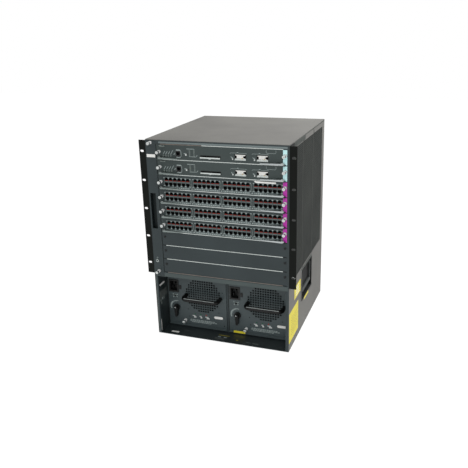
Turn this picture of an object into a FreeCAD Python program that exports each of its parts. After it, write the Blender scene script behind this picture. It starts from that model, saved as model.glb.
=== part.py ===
"""Nine-slot modular network chassis with its modules, fan tray and power supplies.

Millimetres. The origin is the centre of the underside, +Z is up and the front faces -Y.
The chassis size follows from what it holds: slots, fan tray and supply bay.
"""
import FreeCAD
import Part
import math
import os

V = FreeCAD.Vector
X = V(1, 0, 0)
Y = V(0, 1, 0)
Z = V(0, 0, 1)

# Sheet thicknesses
side_sheet = 1.5
base_sheet = 2.0
top_sheet = 1.5
rear_sheet = 1.5
frame_sheet = 2.0
rail_sheet = 1.5
shelf_sheet = 1.5
ear_sheet = 2.5
return_sheet = 1.0
lip_height = 10.0
lip_setback = 1.0
post_width = 16.0
post_top_gap = 12.0

# How far a cutting shape stands out past what it cuts
cut_over = 1.0

# Module slots
slot_count = 9
controller_count = 2
card_count = 4
slot_pitch = 45.2
module_width = 397.0
module_side_gap = 5.0
face_gap = 0.2
board_depth = 410.0
board_setback = 10.0
board_sheet = 1.6
board_lift = 7.9
board_edge_gap = 0.3
guide_reach = 4.0
guide_sheet = 1.2
guide_gap = 0.3
guide_setback = 40.0
rail_flange = 12.0
window_margin = 22.0
window_post_width = 14.0
window_count = 5
window_sill = 3.0

# Faceplates
face_sheet = 2.0
face_return_depth = 14.0
spacer_radius = 2.5
spacer_inset = 44.0
spacer_setback = 12.5
gasket_height = 2.0
gasket_proud = 0.8
gasket_inset = 12.0

# Captive thumbscrews
screw_left_inset = 9.0
screw_right_inset = 5.5
screw_rise = 29.0
left_screw_rise = 24.0
collar_radius = 5.0
collar_length = 6.0
neck_radius = 3.0
neck_length = 4.0
knob_radius = 5.7
knob_length = 9.0
shank_radius = 2.2
shank_length = 5.0
hole_gap = 0.2

# Ejector levers
lever_inset = 12.5
lever_stand = 7.5
lever_lift = 3.9
lever_height = 5.1
lever_eye_radius = 6.5
lever_tip_radius = 2.4
left_lever_reach = 49.0
right_lever_reach = 78.0
claw_length = 15.5
claw_width = 5.0
claw_sweep = 16.5
claw_gap = 0.5
pin_radius = 2.2
pin_gap = 0.1
pin_head_radius = 3.8
pin_head_height = 1.0
lever_side_gap = 0.3
lug_half_width = 9.0
lug_reach = 14.0

# Port cards
block_inset = 19.0
block_count = 4
block_width = 84.0
block_gap = 9.3
block_height = 30.0
block_depth = 24.0
block_proud = 0.6
port_columns = 6
port_pitch = 13.8
port_row_height = 15.0
port_width = 11.7
port_neck = 4.0
port_shoulder = 6.0
port_height = 10.0
port_depth = 16.0
port_web = 2.2

# Controller openings, measured from the left end of the faceplate
console_across = 69.0
console_width = 15.0
console_height = 20.0
console_depth = 20.0
console_hole_rise = 5.6
card_slot_across = 170.0
card_slot_width = 62.0
card_slot_height = 9.0
card_slot_rise = 9.6
card_slot_depth = 60.0
card_slot_wall = 1.5
card_lip_reach = 3.0
cage_across = (261.2, 326.2)
cage_width = 34.0
cage_height = 17.0
cage_rise = 9.6
cage_depth = 48.0
cage_sheet = 1.0
hole_fit = 0.3

# Boards
connector_width = 150.0
connector_height = 10.0
connector_overhang = 4.0
connector_back = 10.0
mating_gap = 0.3
sink_width = 90.0
sink_depth = 70.0
sink_base = 4.0
sink_height = 22.0
sink_fins = 8
fin_sheet = 2.0
sink_setback = 190.0

# Backplane
backplane_sheet = 2.4
socket_depth = 12.0
rear_gap = 27.2
supply_socket_width = 60.0
supply_socket_height = 30.0

# Fan tray
tray_width = 31.8
tray_gap = 0.3
tray_sheet = 1.5
tray_back_gap = 36.3
tray_top_gap = 0.7
fan_rows = 3
fan_columns = 2
fan_row_pitch = 134.0
fan_column_pitch = 150.0
fan_setback = 130.0
fan_hole_radius = 62.0
fan_radius = 60.0
fan_hub_radius = 21.0
fan_depth = 22.0
fan_blades = 5
fan_boss_length = 3.0
fan_strut_width = 8.0
fan_pin_radius = 3.0
fan_pin_gap = 0.1
fan_side_gap = 0.3
fan_root_pitch = 38.0
fan_tip_pitch = 62.0
blade_sheet = 1.6
blade_root = 1.0
grip_inset = 3.0
grip_width = 18.0
grip_height = 113.0
grip_depth = 16.0
grip_rise = 157.0
grip_wall = 1.0
jack_inset = 12.0
jack_rise = 50.5
jack_radius = 5.0
jack_proud = 2.0
jack_hole_radius = 2.2
jack_hole_depth = 8.0
tray_screw_inset = 15.5
tray_screw_top = 6.5
tray_screw_bottom = 16.5

# Supply bay
bay_height = 202.0
sill_height = 15.2
header_height = 12.5
sill_depth = 42.0
bay_wall_sheet = 1.5
runner_height = 2.0
runner_width = 8.0
runner_inset = 40.0
divider_width = 6.2
divider_sheet = 1.5
handle_space = 8.5

# Power supplies
supply_width = 206.0
supply_height = 196.0
supply_gap = 0.3
supply_recess = 62.0
supply_sheet = 1.5
supply_face_sheet = 2.0
supply_plug_gap = 0.3
supply_plug_length = 6.0
grille_side = 80.6
grille_rise = 118.0
grille_radius = 62.0
grille_pitch = 8.1
grille_hole = 5.6
baffle_setback = 44.0
supply_fan_radius = 58.0
supply_fan_setback = 6.3
inlet_across = 23.5
inlet_rise = 142.0
inlet_width = 35.0
inlet_height = 44.0
inlet_proud = 2.0
inlet_depth = 24.0
inlet_wall = 5.0
inlet_pocket = 20.0
blade_pin_length = 14.0
blade_pin_width = 2.0
blade_pin_height = 8.0
blade_pin_offset = 6.5
switch_across = 31.4
switch_rise = 66.0
switch_hub_radius = 11.0
switch_hub_length = 5.0
switch_grip_length = 13.0
switch_grip_radius = 6.0
switch_tail_radius = 3.2
switch_tail_reach = 28.0
switch_pin_radius = 3.0
switch_pin_gap = 0.1
supply_screw_across = 60.4
supply_screw_rise = 22.0
supply_handle_side = 13.0
supply_handle_rise = 114.0
supply_handle_width = 132.0
supply_handle_reach = 43.0
supply_handle_bar = 13.0
supply_handle_bend = 16.0

# Chassis side panels and ears
ear_flange = 45.0
ear_bottom = 213.0
ear_top_drop = 3.0
ear_slot_pitch = 88.9
ear_lowest_height = 248.4
ear_slot_count = 5
ear_slot_width = 7.0
ear_slot_length = 12.0
ear_slot_reach = 12.85
ear_slot_edge = 8.75
vent_front = 36.0
vent_fields = 3
vent_field_pitch = 137.0
vent_columns = 2
vent_slot_length = 59.0
vent_slot_height = 16.0
vent_column_pitch = 65.0
vent_rows = 14
vent_row_pitch = 29.0
vent_lowest_height = 222.0

# Lifting handles in the sides
cup_front = 165.0
cup_length = 133.0
cup_bottom = 102.0
cup_height = 100.0
cup_sheet = 1.0
cup_rim = 4.0
cup_rim_proud = 1.2
cup_back_gap = 0.4
bail_thickness = 5.0
bail_arm = 9.0
bail_bar = 13.0
bail_side_gap = 6.0
bail_back_gap = 0.6
bail_hinge_drop = 14.0
bail_drop = 66.0
bail_pin_radius = 1.6
bail_pin_gap = 0.1

# Small screws that hold the sheets
small_head_radius = 3.6
small_head_height = 1.8
small_shank_radius = 1.5
small_shank_length = 3.0
ear_screw_inset = 12.0
ear_screw_end = 25.0
rear_screw_inset = 10.0
rear_screw_bottom = 30.0
rear_screw_top = 40.0

# What the chassis measures outside
cage_floor = base_sheet + bay_height + sill_height
cage_top = cage_floor + slot_count * slot_pitch
chassis_height = cage_top + header_height + top_sheet
bay_width = 2 * supply_width + 4 * supply_gap + divider_width
bay_need = bay_width + 2 * (bay_wall_sheet + handle_space)
cage_need = 2 * side_sheet + 3 * tray_gap + tray_width + rail_sheet + module_width + module_side_gap
chassis_width = max(bay_need, cage_need)
plane_depth = socket_depth + backplane_sheet
chassis_depth = (board_setback + board_depth + connector_overhang + mating_gap
                 + plane_depth + rear_gap + rear_sheet)

# Planes of the front, back, sides and top
front = -chassis_depth / 2
back = chassis_depth / 2
left = -chassis_width / 2
right = chassis_width / 2
inner_left = left + side_sheet
inner_right = right - side_sheet
under_top = chassis_height - top_sheet
bay_top = base_sheet + bay_height
shelf_top = bay_top + shelf_sheet
board_front = front + board_setback
board_back = board_front + board_depth
socket_front = board_back + connector_overhang + mating_gap
plane_front = socket_front + socket_depth
plane_back = plane_front + backplane_sheet
rear_inside = back - rear_sheet
supply_back = socket_front - supply_plug_gap - supply_plug_length

# The fan tray stands left of the modules
tray_left = inner_left + tray_gap
tray_right = tray_left + tray_width
tray_bottom = shelf_top + tray_gap
tray_top = under_top - tray_top_gap - return_sheet
tray_back = plane_front - tray_back_gap
module_left = tray_right + 2 * tray_gap + rail_sheet
module_right = module_left + module_width
rail_left = module_left + rail_flange
rail_right = module_right - rail_flange
lever_axis_y = front - lever_stand


def block(across, deep, high):
    """A box from three pairs of limits."""
    size = (across[1] - across[0], deep[1] - deep[0], high[1] - high[0])
    return Part.makeBox(*size, V(across[0], deep[0], high[0]))


def rod(radius, start, along, length):
    return Part.makeCylinder(radius, length, V(*start), along)


def joined(shapes):
    return shapes[0].multiFuse(shapes[1:]).removeSplitter()


def pierced(shape, tools):
    return shape.cut(Part.makeCompound(tools))


def turned(steps, start, along):
    """A turned piece of stacked round steps, each a radius and a length."""
    place = V(*start)
    pieces = []
    for radius, length in steps:
        pieces.append(Part.makeCylinder(radius, length, place, along))
        place = place + along * length
    return joined(pieces)


def save(name, solids):
    shape = solids[0] if len(solids) == 1 else Part.makeCompound(solids)
    shape.exportStep("parts/" + name + ".step")


def outline(points, depth_vector):
    """A prism on a closed outline of corner points."""
    return Part.Face(Part.makePolygon(points + points[:1])).extrude(depth_vector)


def tapered_link(start, start_radius, end, end_radius, height):
    """A flat bar whose two ends are round, each with its own radius."""
    run = end - start
    lean = math.acos((start_radius - end_radius) / run.Length)
    heading = math.atan2(run.y, run.x)

    def rim(centre, radius, angle):
        return centre + V(radius * math.cos(heading + angle), radius * math.sin(heading + angle), 0)

    near_left = rim(start, start_radius, lean)
    far_left = rim(end, end_radius, lean)
    far_right = rim(end, end_radius, -lean)
    near_right = rim(start, start_radius, -lean)
    edges = [
        Part.LineSegment(near_left, far_left),
        Part.Arc(far_left, rim(end, end_radius, 0), far_right),
        Part.LineSegment(far_right, near_right),
        Part.Arc(near_right, rim(start, start_radius, math.pi), near_left),
    ]
    return Part.Face(Part.Wire([edge.toShape() for edge in edges])).extrude(V(0, 0, height))


def slot_floor(slot):
    """Height of the underside of a slot, counted from the top."""
    return cage_top - slot * slot_pitch


def slot_of_card(index):
    return controller_count + 1 + index


def thumbscrew(x, face_y, z):
    """A captive screw: shank behind the face, then collar, neck and knob in front."""
    head = turned(
        [(collar_radius, collar_length), (neck_radius, neck_length), (knob_radius, knob_length)],
        (x, face_y, z), -Y)
    shank = rod(shank_radius, (x, face_y, z), Y, shank_length)
    return joined([head, shank])


def panel_screw(x, face_y, z):
    """A flat screw of the same thread, for a panel that seldom comes out."""
    head = rod(small_head_radius, (x, face_y, z), -Y, small_head_height)
    shank = rod(shank_radius, (x, face_y, z), Y, shank_length)
    return joined([head, shank])


def screw_places(slot):
    """Across and up of the two screws that hold the module in a slot."""
    has_levers = slot <= controller_count + card_count
    left_rise = left_screw_rise if has_levers else screw_rise
    return [(module_left + screw_left_inset, slot_floor(slot) + left_rise),
            (module_right - screw_right_inset, slot_floor(slot) + screw_rise)]


def screw_hole(x, y, z, depth):
    return rod(shank_radius + hole_gap, (x, y, z), Y, depth)


def small_screw(seat, outward):
    """A pan head screw on its seat, with the shank through the sheets below."""
    head = Part.makeCylinder(small_head_radius, small_head_height, seat, outward)
    shank = Part.makeCylinder(small_shank_radius, small_shank_length, seat, -outward)
    return joined([head, shank])


def small_hole(seat, outward, depth):
    start = seat + outward * depth
    return Part.makeCylinder(small_shank_radius + hole_gap, 2 * depth, start, -outward)


# Where the small screws go, shared by the sheets and the screws
def ear_screw_seats(side):
    face_x = side * (chassis_width / 2 + ear_sheet)
    high = chassis_height - ear_top_drop
    middle = (ear_bottom + high) / 2
    heights = [ear_bottom + ear_screw_end, middle, high - ear_screw_end]
    return [V(face_x, front + ear_flange - ear_screw_inset, z) for z in heights]


def rear_screw_seats():
    seats = []
    for x in (left + rear_screw_inset, right - rear_screw_inset):
        for z in (rear_screw_bottom, chassis_height / 2, chassis_height - rear_screw_top):
            seats.append(V(x, back, z))
    return seats


def base_pan():
    """Floor sheet with runner ribs under the supplies and a rear lip."""
    floor = block((inner_left, inner_right), (front + frame_sheet, rear_inside), (0, base_sheet))
    pieces = [floor]
    for first in (supply_left(0), supply_left(1)):
        for x in (first + runner_inset, first + supply_width - runner_inset - runner_width):
            deep = (front + supply_recess, plane_front - socket_depth)
            pieces.append(block((x, x + runner_width), deep, (base_sheet, base_sheet + runner_height)))
    return joined(pieces)


def supply_left(index):
    """Left edge of a supply: the first is left of the divider."""
    start = -bay_width / 2 + supply_gap
    return start + index * (supply_width + 2 * supply_gap + divider_width)


def vent_cuts(x):
    """Air slots of a side panel, in three fields."""
    cuts = []
    for field in range(vent_fields):
        for column in range(vent_columns):
            y = front + vent_front + field * vent_field_pitch + column * vent_column_pitch
            for row in range(vent_rows):
                z = vent_lowest_height + row * vent_row_pitch
                cuts.append(block((x - side_sheet, x + 2 * side_sheet), (y, y + vent_slot_length),
                                  (z, z + vent_slot_height)))
    return cuts


def side_panel(side):
    x = right - side_sheet if side > 0 else left
    panel = block((x, x + side_sheet), (front + frame_sheet, back), (0, under_top))
    cup = block((x - side_sheet, x + 2 * side_sheet), (front + cup_front, front + cup_front + cup_length),
                (cup_bottom, cup_bottom + cup_height))
    holes = [small_hole(V(side * chassis_width / 2, seat.y, seat.z), X * side, 2 * side_sheet)
             for seat in ear_screw_seats(side)]
    return pierced(panel, vent_cuts(x) + [cup] + holes)


def top_cover():
    """Top sheet with a lip turned down inside each side panel."""
    sheet = block((left, right), (front, back), (under_top, chassis_height))
    high = (under_top - lip_height, under_top)
    left_lip = block((inner_left, inner_left + return_sheet), (plane_back + lip_setback, rear_inside), high)
    right_lip = block((inner_right - return_sheet, inner_right), (front + frame_sheet, rear_inside), high)
    return joined([sheet, left_lip, right_lip])


def rear_cover():
    sheet = block((inner_left, inner_right), (rear_inside, back), (0, under_top))
    return pierced(sheet, [small_hole(seat, Y, 2 * rear_sheet) for seat in rear_screw_seats()])


def rear_post(side):
    """An angle in each rear corner that the rear cover screws to."""
    outer = inner_right if side > 0 else inner_left
    high = (base_sheet, under_top - post_top_gap)
    face = block(sorted((outer, outer - side * post_width)), (rear_inside - rail_sheet, rear_inside), high)
    leg = block(sorted((outer, outer - side * rail_sheet)), (plane_back, rear_inside), high)
    holes = [small_hole(seat, Y, 2 * small_shank_length) for seat in rear_screw_seats()]
    return pierced(joined([face, leg]), holes)


def front_frame():
    """The front surround of welded strips, with an angle under and over the module cage."""
    deep = (front, front + frame_sheet)
    tray_edge = tray_right + tray_gap
    cage_edge = module_right + face_gap
    header_bottom = cage_top + face_gap
    bottom_lip = block((left, right), deep, (0, base_sheet))
    bay_left = block((left, -bay_width / 2), deep, (base_sheet, bay_top))
    bay_right = block((bay_width / 2, right), deep, (base_sheet, bay_top))
    under_tray = block((left, tray_edge), deep, (bay_top, shelf_top))
    under_cage = block((tray_edge, right), deep, (bay_top, cage_floor))
    left_post = block((left, inner_left), deep, (shelf_top, under_top))
    over_tray = block((inner_left, tray_edge), deep, (under_top - return_sheet, under_top))
    right_post = block((cage_edge, right), deep, (cage_floor, header_bottom))
    header = block((tray_edge, right), deep, (header_bottom, under_top))
    between = (rail_left, rail_right)
    lower_angle = block(between, (front + frame_sheet, front + sill_depth),
                        (cage_floor - 2 * return_sheet, cage_floor - return_sheet))
    upper_angle = block(between, (front + frame_sheet, front + face_return_depth),
                        (header_bottom, header_bottom + return_sheet))
    return [bottom_lip, bay_left, bay_right, under_tray, under_cage, left_post, over_tray, right_post,
            header, lower_angle, upper_angle]


def bay_shelf():
    """Shelf over the supply bay with the two bay walls welded under it."""
    shelf = block((inner_left, inner_right), (front + frame_sheet, plane_front), (bay_top, shelf_top))
    legs = []
    for side in (-1, 1):
        inner = side * bay_width / 2
        outer = side * (bay_width / 2 + bay_wall_sheet)
        legs.append(block(sorted((inner, outer)), (front + frame_sheet, plane_front), (base_sheet, bay_top)))
    return joined([shelf] + legs)


def bay_divider():
    """A folded channel between the two supplies, closed at the front."""
    start = front + supply_recess + supply_face_sheet
    outer = block((-divider_width / 2, divider_width / 2), (start, plane_front - socket_depth),
                  (base_sheet, bay_top))
    inner = block((-divider_width / 2 + divider_sheet, divider_width / 2 - divider_sheet),
                  (start + divider_sheet, plane_front), (base_sheet, bay_top))
    return outer.cut(inner)


def cage_wall(side):
    """Wall sheet with air windows, a tapped rail at each end and the card guides."""
    inner = rail_right if side > 0 else rail_left
    outer = inner + side * rail_sheet
    rail_end = module_right + face_gap if side > 0 else module_left - face_gap - rail_sheet
    behind_face = front + face_sheet
    high = (shelf_top, under_top)
    wall = block(sorted((inner, outer)), (behind_face + rail_sheet, plane_front - rail_sheet), high)
    rail = block(sorted((inner, rail_end)), (behind_face, behind_face + rail_sheet), high)
    rear = block(sorted((inner, rail_end)), (plane_front - rail_sheet, plane_front), high)
    guides = []
    windows = []
    holes = []
    room = board_depth - guide_setback - 2 * window_margin
    window_length = (room + window_post_width) / window_count - window_post_width
    for slot in range(1, slot_count + 1):
        floor = slot_floor(slot)
        board = floor + board_lift
        reach = sorted((inner, inner - side * guide_reach))
        deep = (front + guide_setback, socket_front)
        lower_top = board - guide_gap
        upper_bottom = board + board_sheet + guide_gap
        guides.append(block(reach, deep, (lower_top - guide_sheet, lower_top)))
        guides.append(block(reach, deep, (upper_bottom, upper_bottom + guide_sheet)))
        bottom = upper_bottom + guide_sheet + window_sill
        top = floor + slot_pitch - window_sill
        for bay in range(window_count):
            start = front + guide_setback + window_margin + bay * (window_length + window_post_width)
            windows.append(block(sorted((inner - side, outer + side)), (start, start + window_length),
                                 (bottom, top)))
        screw_x, screw_z = screw_places(slot)[1 if side > 0 else 0]
        holes.append(screw_hole(screw_x, front, screw_z, 2 * face_sheet + rail_sheet))
    return [pierced(wall, windows + holes), pierced(rail, holes), rear] + guides


def backplane():
    """Connector board across the back of the cage and the supply bay."""
    board = block((inner_left, inner_right), (plane_front, plane_back), (base_sheet, cage_top))
    solids = [board]
    middle = (module_left + module_right) / 2
    for slot in range(1, slot_count + 1):
        z = slot_floor(slot) + board_lift + board_sheet
        solids.append(block((middle - connector_width / 2, middle + connector_width / 2),
                            (socket_front, plane_front), (z, z + connector_height)))
    for index in range(2):
        x, z = supply_connector_place(index)
        solids.append(block((x, x + supply_socket_width), (socket_front, plane_front),
                            (z, z + supply_socket_height)))
    return solids


def supply_connector_place(index):
    x = supply_left(index) + (supply_width - supply_socket_width) / 2
    z = base_sheet + runner_height + (supply_height - supply_socket_height) / 2
    return x, z


def rack_ear(side):
    """A slotted ear at the front and its flange along the chassis side."""
    side_x = side * chassis_width / 2
    high = (ear_bottom, chassis_height - ear_top_drop)
    slot_x = side_x + side * ear_slot_reach
    face = block(sorted((side_x, slot_x + side * ear_slot_edge)), (front, front + ear_sheet), high)
    flange = block(sorted((side_x, side_x + side * ear_sheet)), (front, front + ear_flange), high)
    cuts = []
    reach = (ear_slot_length - ear_slot_width) / 2
    for index in range(ear_slot_count):
        z = ear_lowest_height + index * ear_slot_pitch
        ends = [rod(ear_slot_width / 2, (slot_x + offset, front - ear_sheet, z), Y, 3 * ear_sheet)
                for offset in (-reach, reach)]
        web = block((slot_x - reach, slot_x + reach), (front - ear_sheet, front + 2 * ear_sheet),
                    (z - ear_slot_width / 2, z + ear_slot_width / 2))
        cuts.append(joined(ends + [web]))
    holes = [small_hole(seat, X * side, 2 * ear_sheet) for seat in ear_screw_seats(side)]
    return pierced(joined([face, flange]), cuts + holes)


def chassis_screws():
    solids = []
    for side in (-1, 1):
        solids += [small_screw(seat, X * side) for seat in ear_screw_seats(side)]
    solids += [small_screw(seat, Y) for seat in rear_screw_seats()]
    return solids


def handle_cup(side):
    """A shallow dish in the side panel with a raised rim and two hinge pins."""
    y0 = front + cup_front + cup_sheet / 2
    y1 = y0 + cup_length - cup_sheet
    z0 = cup_bottom + cup_sheet / 2
    z1 = z0 + cup_height - cup_sheet
    outside = chassis_width / 2
    floor_x = bay_width / 2 + bay_wall_sheet + cup_back_gap
    rim_x = outside + cup_rim_proud
    body = block(sorted((side * floor_x, side * rim_x)), (y0, y1), (z0, z1))
    rim = block(sorted((side * outside, side * rim_x)), (y0 - cup_rim, y1 + cup_rim),
                (z0 - cup_rim, z1 + cup_rim))
    hollow = block(sorted((side * (floor_x + cup_sheet), side * 2 * outside)),
                   (y0 + cup_sheet, y1 - cup_sheet), (z0 + cup_sheet, z1 - cup_sheet))
    dish = joined([body, rim]).cut(hollow)
    pin_length = bail_side_gap + bail_arm
    pins = [rod(bail_pin_radius, (side * bail_axis_x(), y, bail_axis_z()), along, pin_length)
            for y, along in ((y0 + cup_sheet / 2, Y), (y1 - cup_sheet / 2, -Y))]
    return joined([dish] + pins)


def bail_axis_x():
    floor_x = bay_width / 2 + bay_wall_sheet + cup_back_gap + cup_sheet
    return floor_x + bail_back_gap + bail_thickness / 2


def bail_axis_z():
    return cup_bottom + cup_height - bail_hinge_drop


def side_handle(side):
    """A flat U-shaped bail that hangs in the cup from its two pins."""
    y0 = front + cup_front + 1.5 * cup_sheet + bail_side_gap
    y1 = front + cup_front + cup_length - 1.5 * cup_sheet - bail_side_gap
    axis_x = side * bail_axis_x()
    across = (axis_x - bail_thickness / 2, axis_x + bail_thickness / 2)
    top = bail_axis_z()
    arms = []
    for y in (y0, y1 - bail_arm):
        arms.append(block(across, (y, y + bail_arm), (top - bail_drop, top)))
        arms.append(rod(bail_thickness / 2, (axis_x, y, top), Y, bail_arm))
    bar = block(across, (y0, y1), (top - bail_drop, top - bail_drop + bail_bar))
    bores = [rod(bail_pin_radius + bail_pin_gap, (axis_x, y, top), Y, bail_arm) for y in (y0, y1 - bail_arm)]
    return pierced(joined(arms + [bar]), bores)


def rotor(radius):
    """A fan rotor on the Z axis, its blades twisted from root to tip."""
    pieces = [rod(fan_hub_radius, (0, 0, 0), Z, fan_depth)]
    half_rise = fan_depth / 2 - blade_sheet
    for index in range(fan_blades):
        sections = []
        for distance, pitch in ((fan_hub_radius - blade_root, fan_root_pitch), (radius, fan_tip_pitch)):
            lean = math.radians(pitch)
            centre = V(distance, 0, fan_depth / 2)
            along = V(0, half_rise * math.tan(lean), half_rise)
            thick = V(0, math.cos(lean), -math.sin(lean)) * (blade_sheet / 2)
            corners = [centre - along - thick, centre + along - thick, centre + along + thick,
                       centre - along + thick]
            sections.append(Part.makePolygon(corners + corners[:1]))
        blade = Part.makeLoft(sections, True, True)
        blade.rotate(V(0, 0, 0), Z, index * 360.0 / fan_blades)
        pieces.append(blade)
    bore = rod(fan_pin_radius + fan_pin_gap, (0, 0, -cut_over), Z, fan_depth + 2 * cut_over)
    return joined(pieces).cut(bore)


def tray_fan_places():
    """Centres of the tray fans, seen from the side: depth and height."""
    places = []
    middle = (tray_bottom + tray_top) / 2
    for column in range(fan_columns):
        for row in range(fan_rows):
            z = middle + (row - (fan_rows - 1) / 2) * fan_row_pitch
            places.append((front + fan_setback + column * fan_column_pitch, z))
    return places


def fan_start_x():
    return tray_left + tray_sheet + fan_boss_length + fan_side_gap


def tray_fan_rotor(index):
    y, z = tray_fan_places()[index]
    shape = rotor(fan_radius)
    shape.rotate(V(0, 0, 0), Y, 90)
    shape.translate(V(fan_start_x(), y, z))
    return shape


def fan_tray_wall():
    """Wall sheet with a round hole for each fan and a three-legged guard across it."""
    across = (tray_left, tray_left + tray_sheet)
    deep = (front + face_sheet, tray_back)
    wall = block(across, deep, (tray_bottom + tray_sheet, tray_top - tray_sheet))
    holes = []
    guards = []
    for y, z in tray_fan_places():
        holes.append(rod(fan_hole_radius, (tray_left - cut_over, y, z), X, tray_sheet + 2 * cut_over))
        guards.append(rod(fan_hub_radius, (tray_left, y, z), X, tray_sheet))
        for leg in range(3):
            strut = block(across, (-fan_strut_width / 2, fan_strut_width / 2),
                          (0, fan_hole_radius + cut_over))
            strut.rotate(V(0, 0, 0), X, leg * 120)
            strut.translate(V(0, y, z))
            guards.append(strut)
    return joined([pierced(wall, holes)] + guards)


def fan_tray_front():
    """Front plate of the tray with a finger recess and the wrist strap jack."""
    plate = block((tray_left, tray_right), (front, front + face_sheet), (tray_bottom, tray_top))
    jack_x = tray_left + jack_inset
    jack_z = tray_bottom + jack_rise
    jack = rod(jack_radius, (jack_x, front - jack_proud, jack_z), Y, jack_proud)
    jack_hole = rod(jack_hole_radius, (jack_x, front - 2 * jack_proud, jack_z), Y, jack_hole_depth)
    grip_z = tray_bottom + grip_rise
    cup = block((tray_left + grip_inset - grip_wall, tray_left + grip_inset + grip_width + grip_wall),
                (front, front + grip_depth + grip_wall),
                (grip_z - grip_wall, grip_z + grip_height + grip_wall))
    recess = block((tray_left + grip_inset, tray_left + grip_inset + grip_width),
                   (front - cut_over, front + grip_depth), (grip_z, grip_z + grip_height))
    screw_x = tray_left + tray_screw_inset
    cuts = [rod(shank_radius, (screw_x, front, z), Y, shank_length) for z in tray_screw_heights()]
    return pierced(joined([plate, cup, jack]), [recess, jack_hole] + cuts)


def tray_screw_heights():
    return tray_top - tray_screw_top, tray_bottom + tray_screw_bottom


def fan_tray_frame():
    """The tray's front, fan wall, floor, roof and tail, a boss and pin for each fan, two screws."""
    deep = (front + face_sheet, tray_back)
    floor = block((tray_left, tray_right), deep, (tray_bottom, tray_bottom + tray_sheet))
    roof = block((tray_left, tray_right), deep, (tray_top - tray_sheet, tray_top))
    tail = block((tray_left + tray_sheet, tray_right), (tray_back - tray_sheet, tray_back),
                 (tray_bottom + tray_sheet, tray_top - tray_sheet))
    boss_x = tray_left + tray_sheet
    bosses = [rod(fan_hub_radius, (boss_x, y, z), X, fan_boss_length) for y, z in tray_fan_places()]
    pins = [rod(fan_pin_radius, (boss_x + fan_boss_length, y, z), X, fan_depth + fan_side_gap)
            for y, z in tray_fan_places()]
    screws = [thumbscrew(tray_left + tray_screw_inset, front, z) for z in tray_screw_heights()]
    return [fan_tray_front(), fan_tray_wall(), floor, roof, tail] + bosses + pins + screws


def lever_pivots():
    """Each pivot's place, the way its bar points and how far it reaches."""
    return ((module_left + lever_inset, 1, left_lever_reach),
            (module_right - lever_inset, -1, right_lever_reach))


def lever(slot, pivot_x, towards, reach):
    """An ejector: round eye on the pin, a tapered bar and a claw through the face."""
    z = slot_floor(slot) + lever_lift
    start = V(pivot_x, lever_axis_y, z)
    tip = start + V(towards * reach, 0, 0)
    bar = tapered_link(start, lever_eye_radius, tip, lever_tip_radius, lever_height)
    claw = block(sorted((pivot_x, pivot_x + towards * claw_width)),
                 (lever_axis_y, lever_axis_y + claw_length), (z, z + lever_height))
    bore = rod(pin_radius + pin_gap, (pivot_x, lever_axis_y, z), Z, lever_height)
    return joined([bar, claw]).cut(bore)


def face_plate(slot, cutouts, with_levers):
    """A faceplate with its returns, gasket strip, captive screws and lever lugs."""
    floor = slot_floor(slot)
    bottom = floor + gasket_height + face_gap
    top = floor + slot_pitch - face_gap
    behind = front + face_sheet
    across = (module_left, module_right)
    between = (module_left + rail_flange + board_edge_gap, module_right - rail_flange - board_edge_gap)
    plate = block(across, (front, behind), (bottom, top))
    lower = block(between, (front, front + face_return_depth), (bottom, bottom + return_sheet))
    upper = block(between, (front, front + face_return_depth), (top - return_sheet, top))
    pieces = [plate, lower, upper]
    for x in (module_left + spacer_inset, (module_left + module_right) / 2, module_right - spacer_inset):
        if with_levers:
            rise = floor + board_lift - bottom
            pieces.append(rod(spacer_radius, (x, front + spacer_setback, bottom), Z, rise))
    pins = []
    cuts = list(cutouts)
    if with_levers:
        lug_top = floor + lever_lift - lever_side_gap
        for pivot_x, towards, reach in lever_pivots():
            pieces.append(block((pivot_x - lug_half_width, pivot_x + lug_half_width),
                                (front - lug_reach, front), (bottom, lug_top)))
            sweep = sorted((pivot_x - towards * claw_gap, pivot_x + towards * claw_sweep))
            cuts.append(block(sweep, (front - cut_over, behind + cut_over),
                              (lug_top, lug_top + lever_height + 3 * lever_side_gap)))
            pins.append(turned([(pin_radius, lever_height + 2 * lever_side_gap),
                                (pin_head_radius, pin_head_height)], (pivot_x, lever_axis_y, lug_top), Z))
    screws = []
    screw_of = thumbscrew if with_levers else panel_screw
    for x, z in screw_places(slot):
        screws.append(screw_of(x, front, z))
        cuts.append(rod(shank_radius, (x, front, z), Y, shank_length))
    gasket = block((module_left + gasket_inset, module_right - gasket_inset),
                   (front - gasket_proud, front + face_sheet), (floor + face_gap, bottom))
    return [pierced(joined(pieces), cuts), gasket] + pins + screws


def port_opening(x, z, upright):
    """One socket: wide foot and a narrower latch end, as a prism to be cut."""
    half = port_width / 2
    neck = port_neck / 2
    y = front - block_proud - cut_over
    flip = 1 if upright else -1
    foot = z if upright else z + port_height
    points = [V(x - half, y, foot), V(x + half, y, foot), V(x + half, y, foot + flip * port_shoulder),
              V(x + neck, y, foot + flip * port_height), V(x - neck, y, foot + flip * port_height),
              V(x - half, y, foot + flip * port_shoulder)]
    return outline(points, V(0, port_depth + cut_over, 0))


def block_left(index):
    return module_left + block_inset + index * (block_width + block_gap)


def block_bottom(slot):
    return slot_floor(slot) + board_lift + board_sheet


def port_place(slot, index, column, row):
    """Middle of a socket's foot or latch edge and its lower height."""
    x = block_left(index) + block_width / 2 + (column - (port_columns - 1) / 2) * port_pitch
    z = block_bottom(slot) + port_web + row * port_row_height
    return x, z


def port_block(slot, index):
    """Twelve sockets in one moulded housing, the two rows latch to latch outwards."""
    x = block_left(index)
    z = block_bottom(slot)
    body = block((x, x + block_width), (front - block_proud, front + block_depth), (z, z + block_height))
    cuts = [port_opening(*port_place(slot, index, column, row), row == 1)
            for column in range(port_columns) for row in range(2)]
    return pierced(body, cuts)


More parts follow.
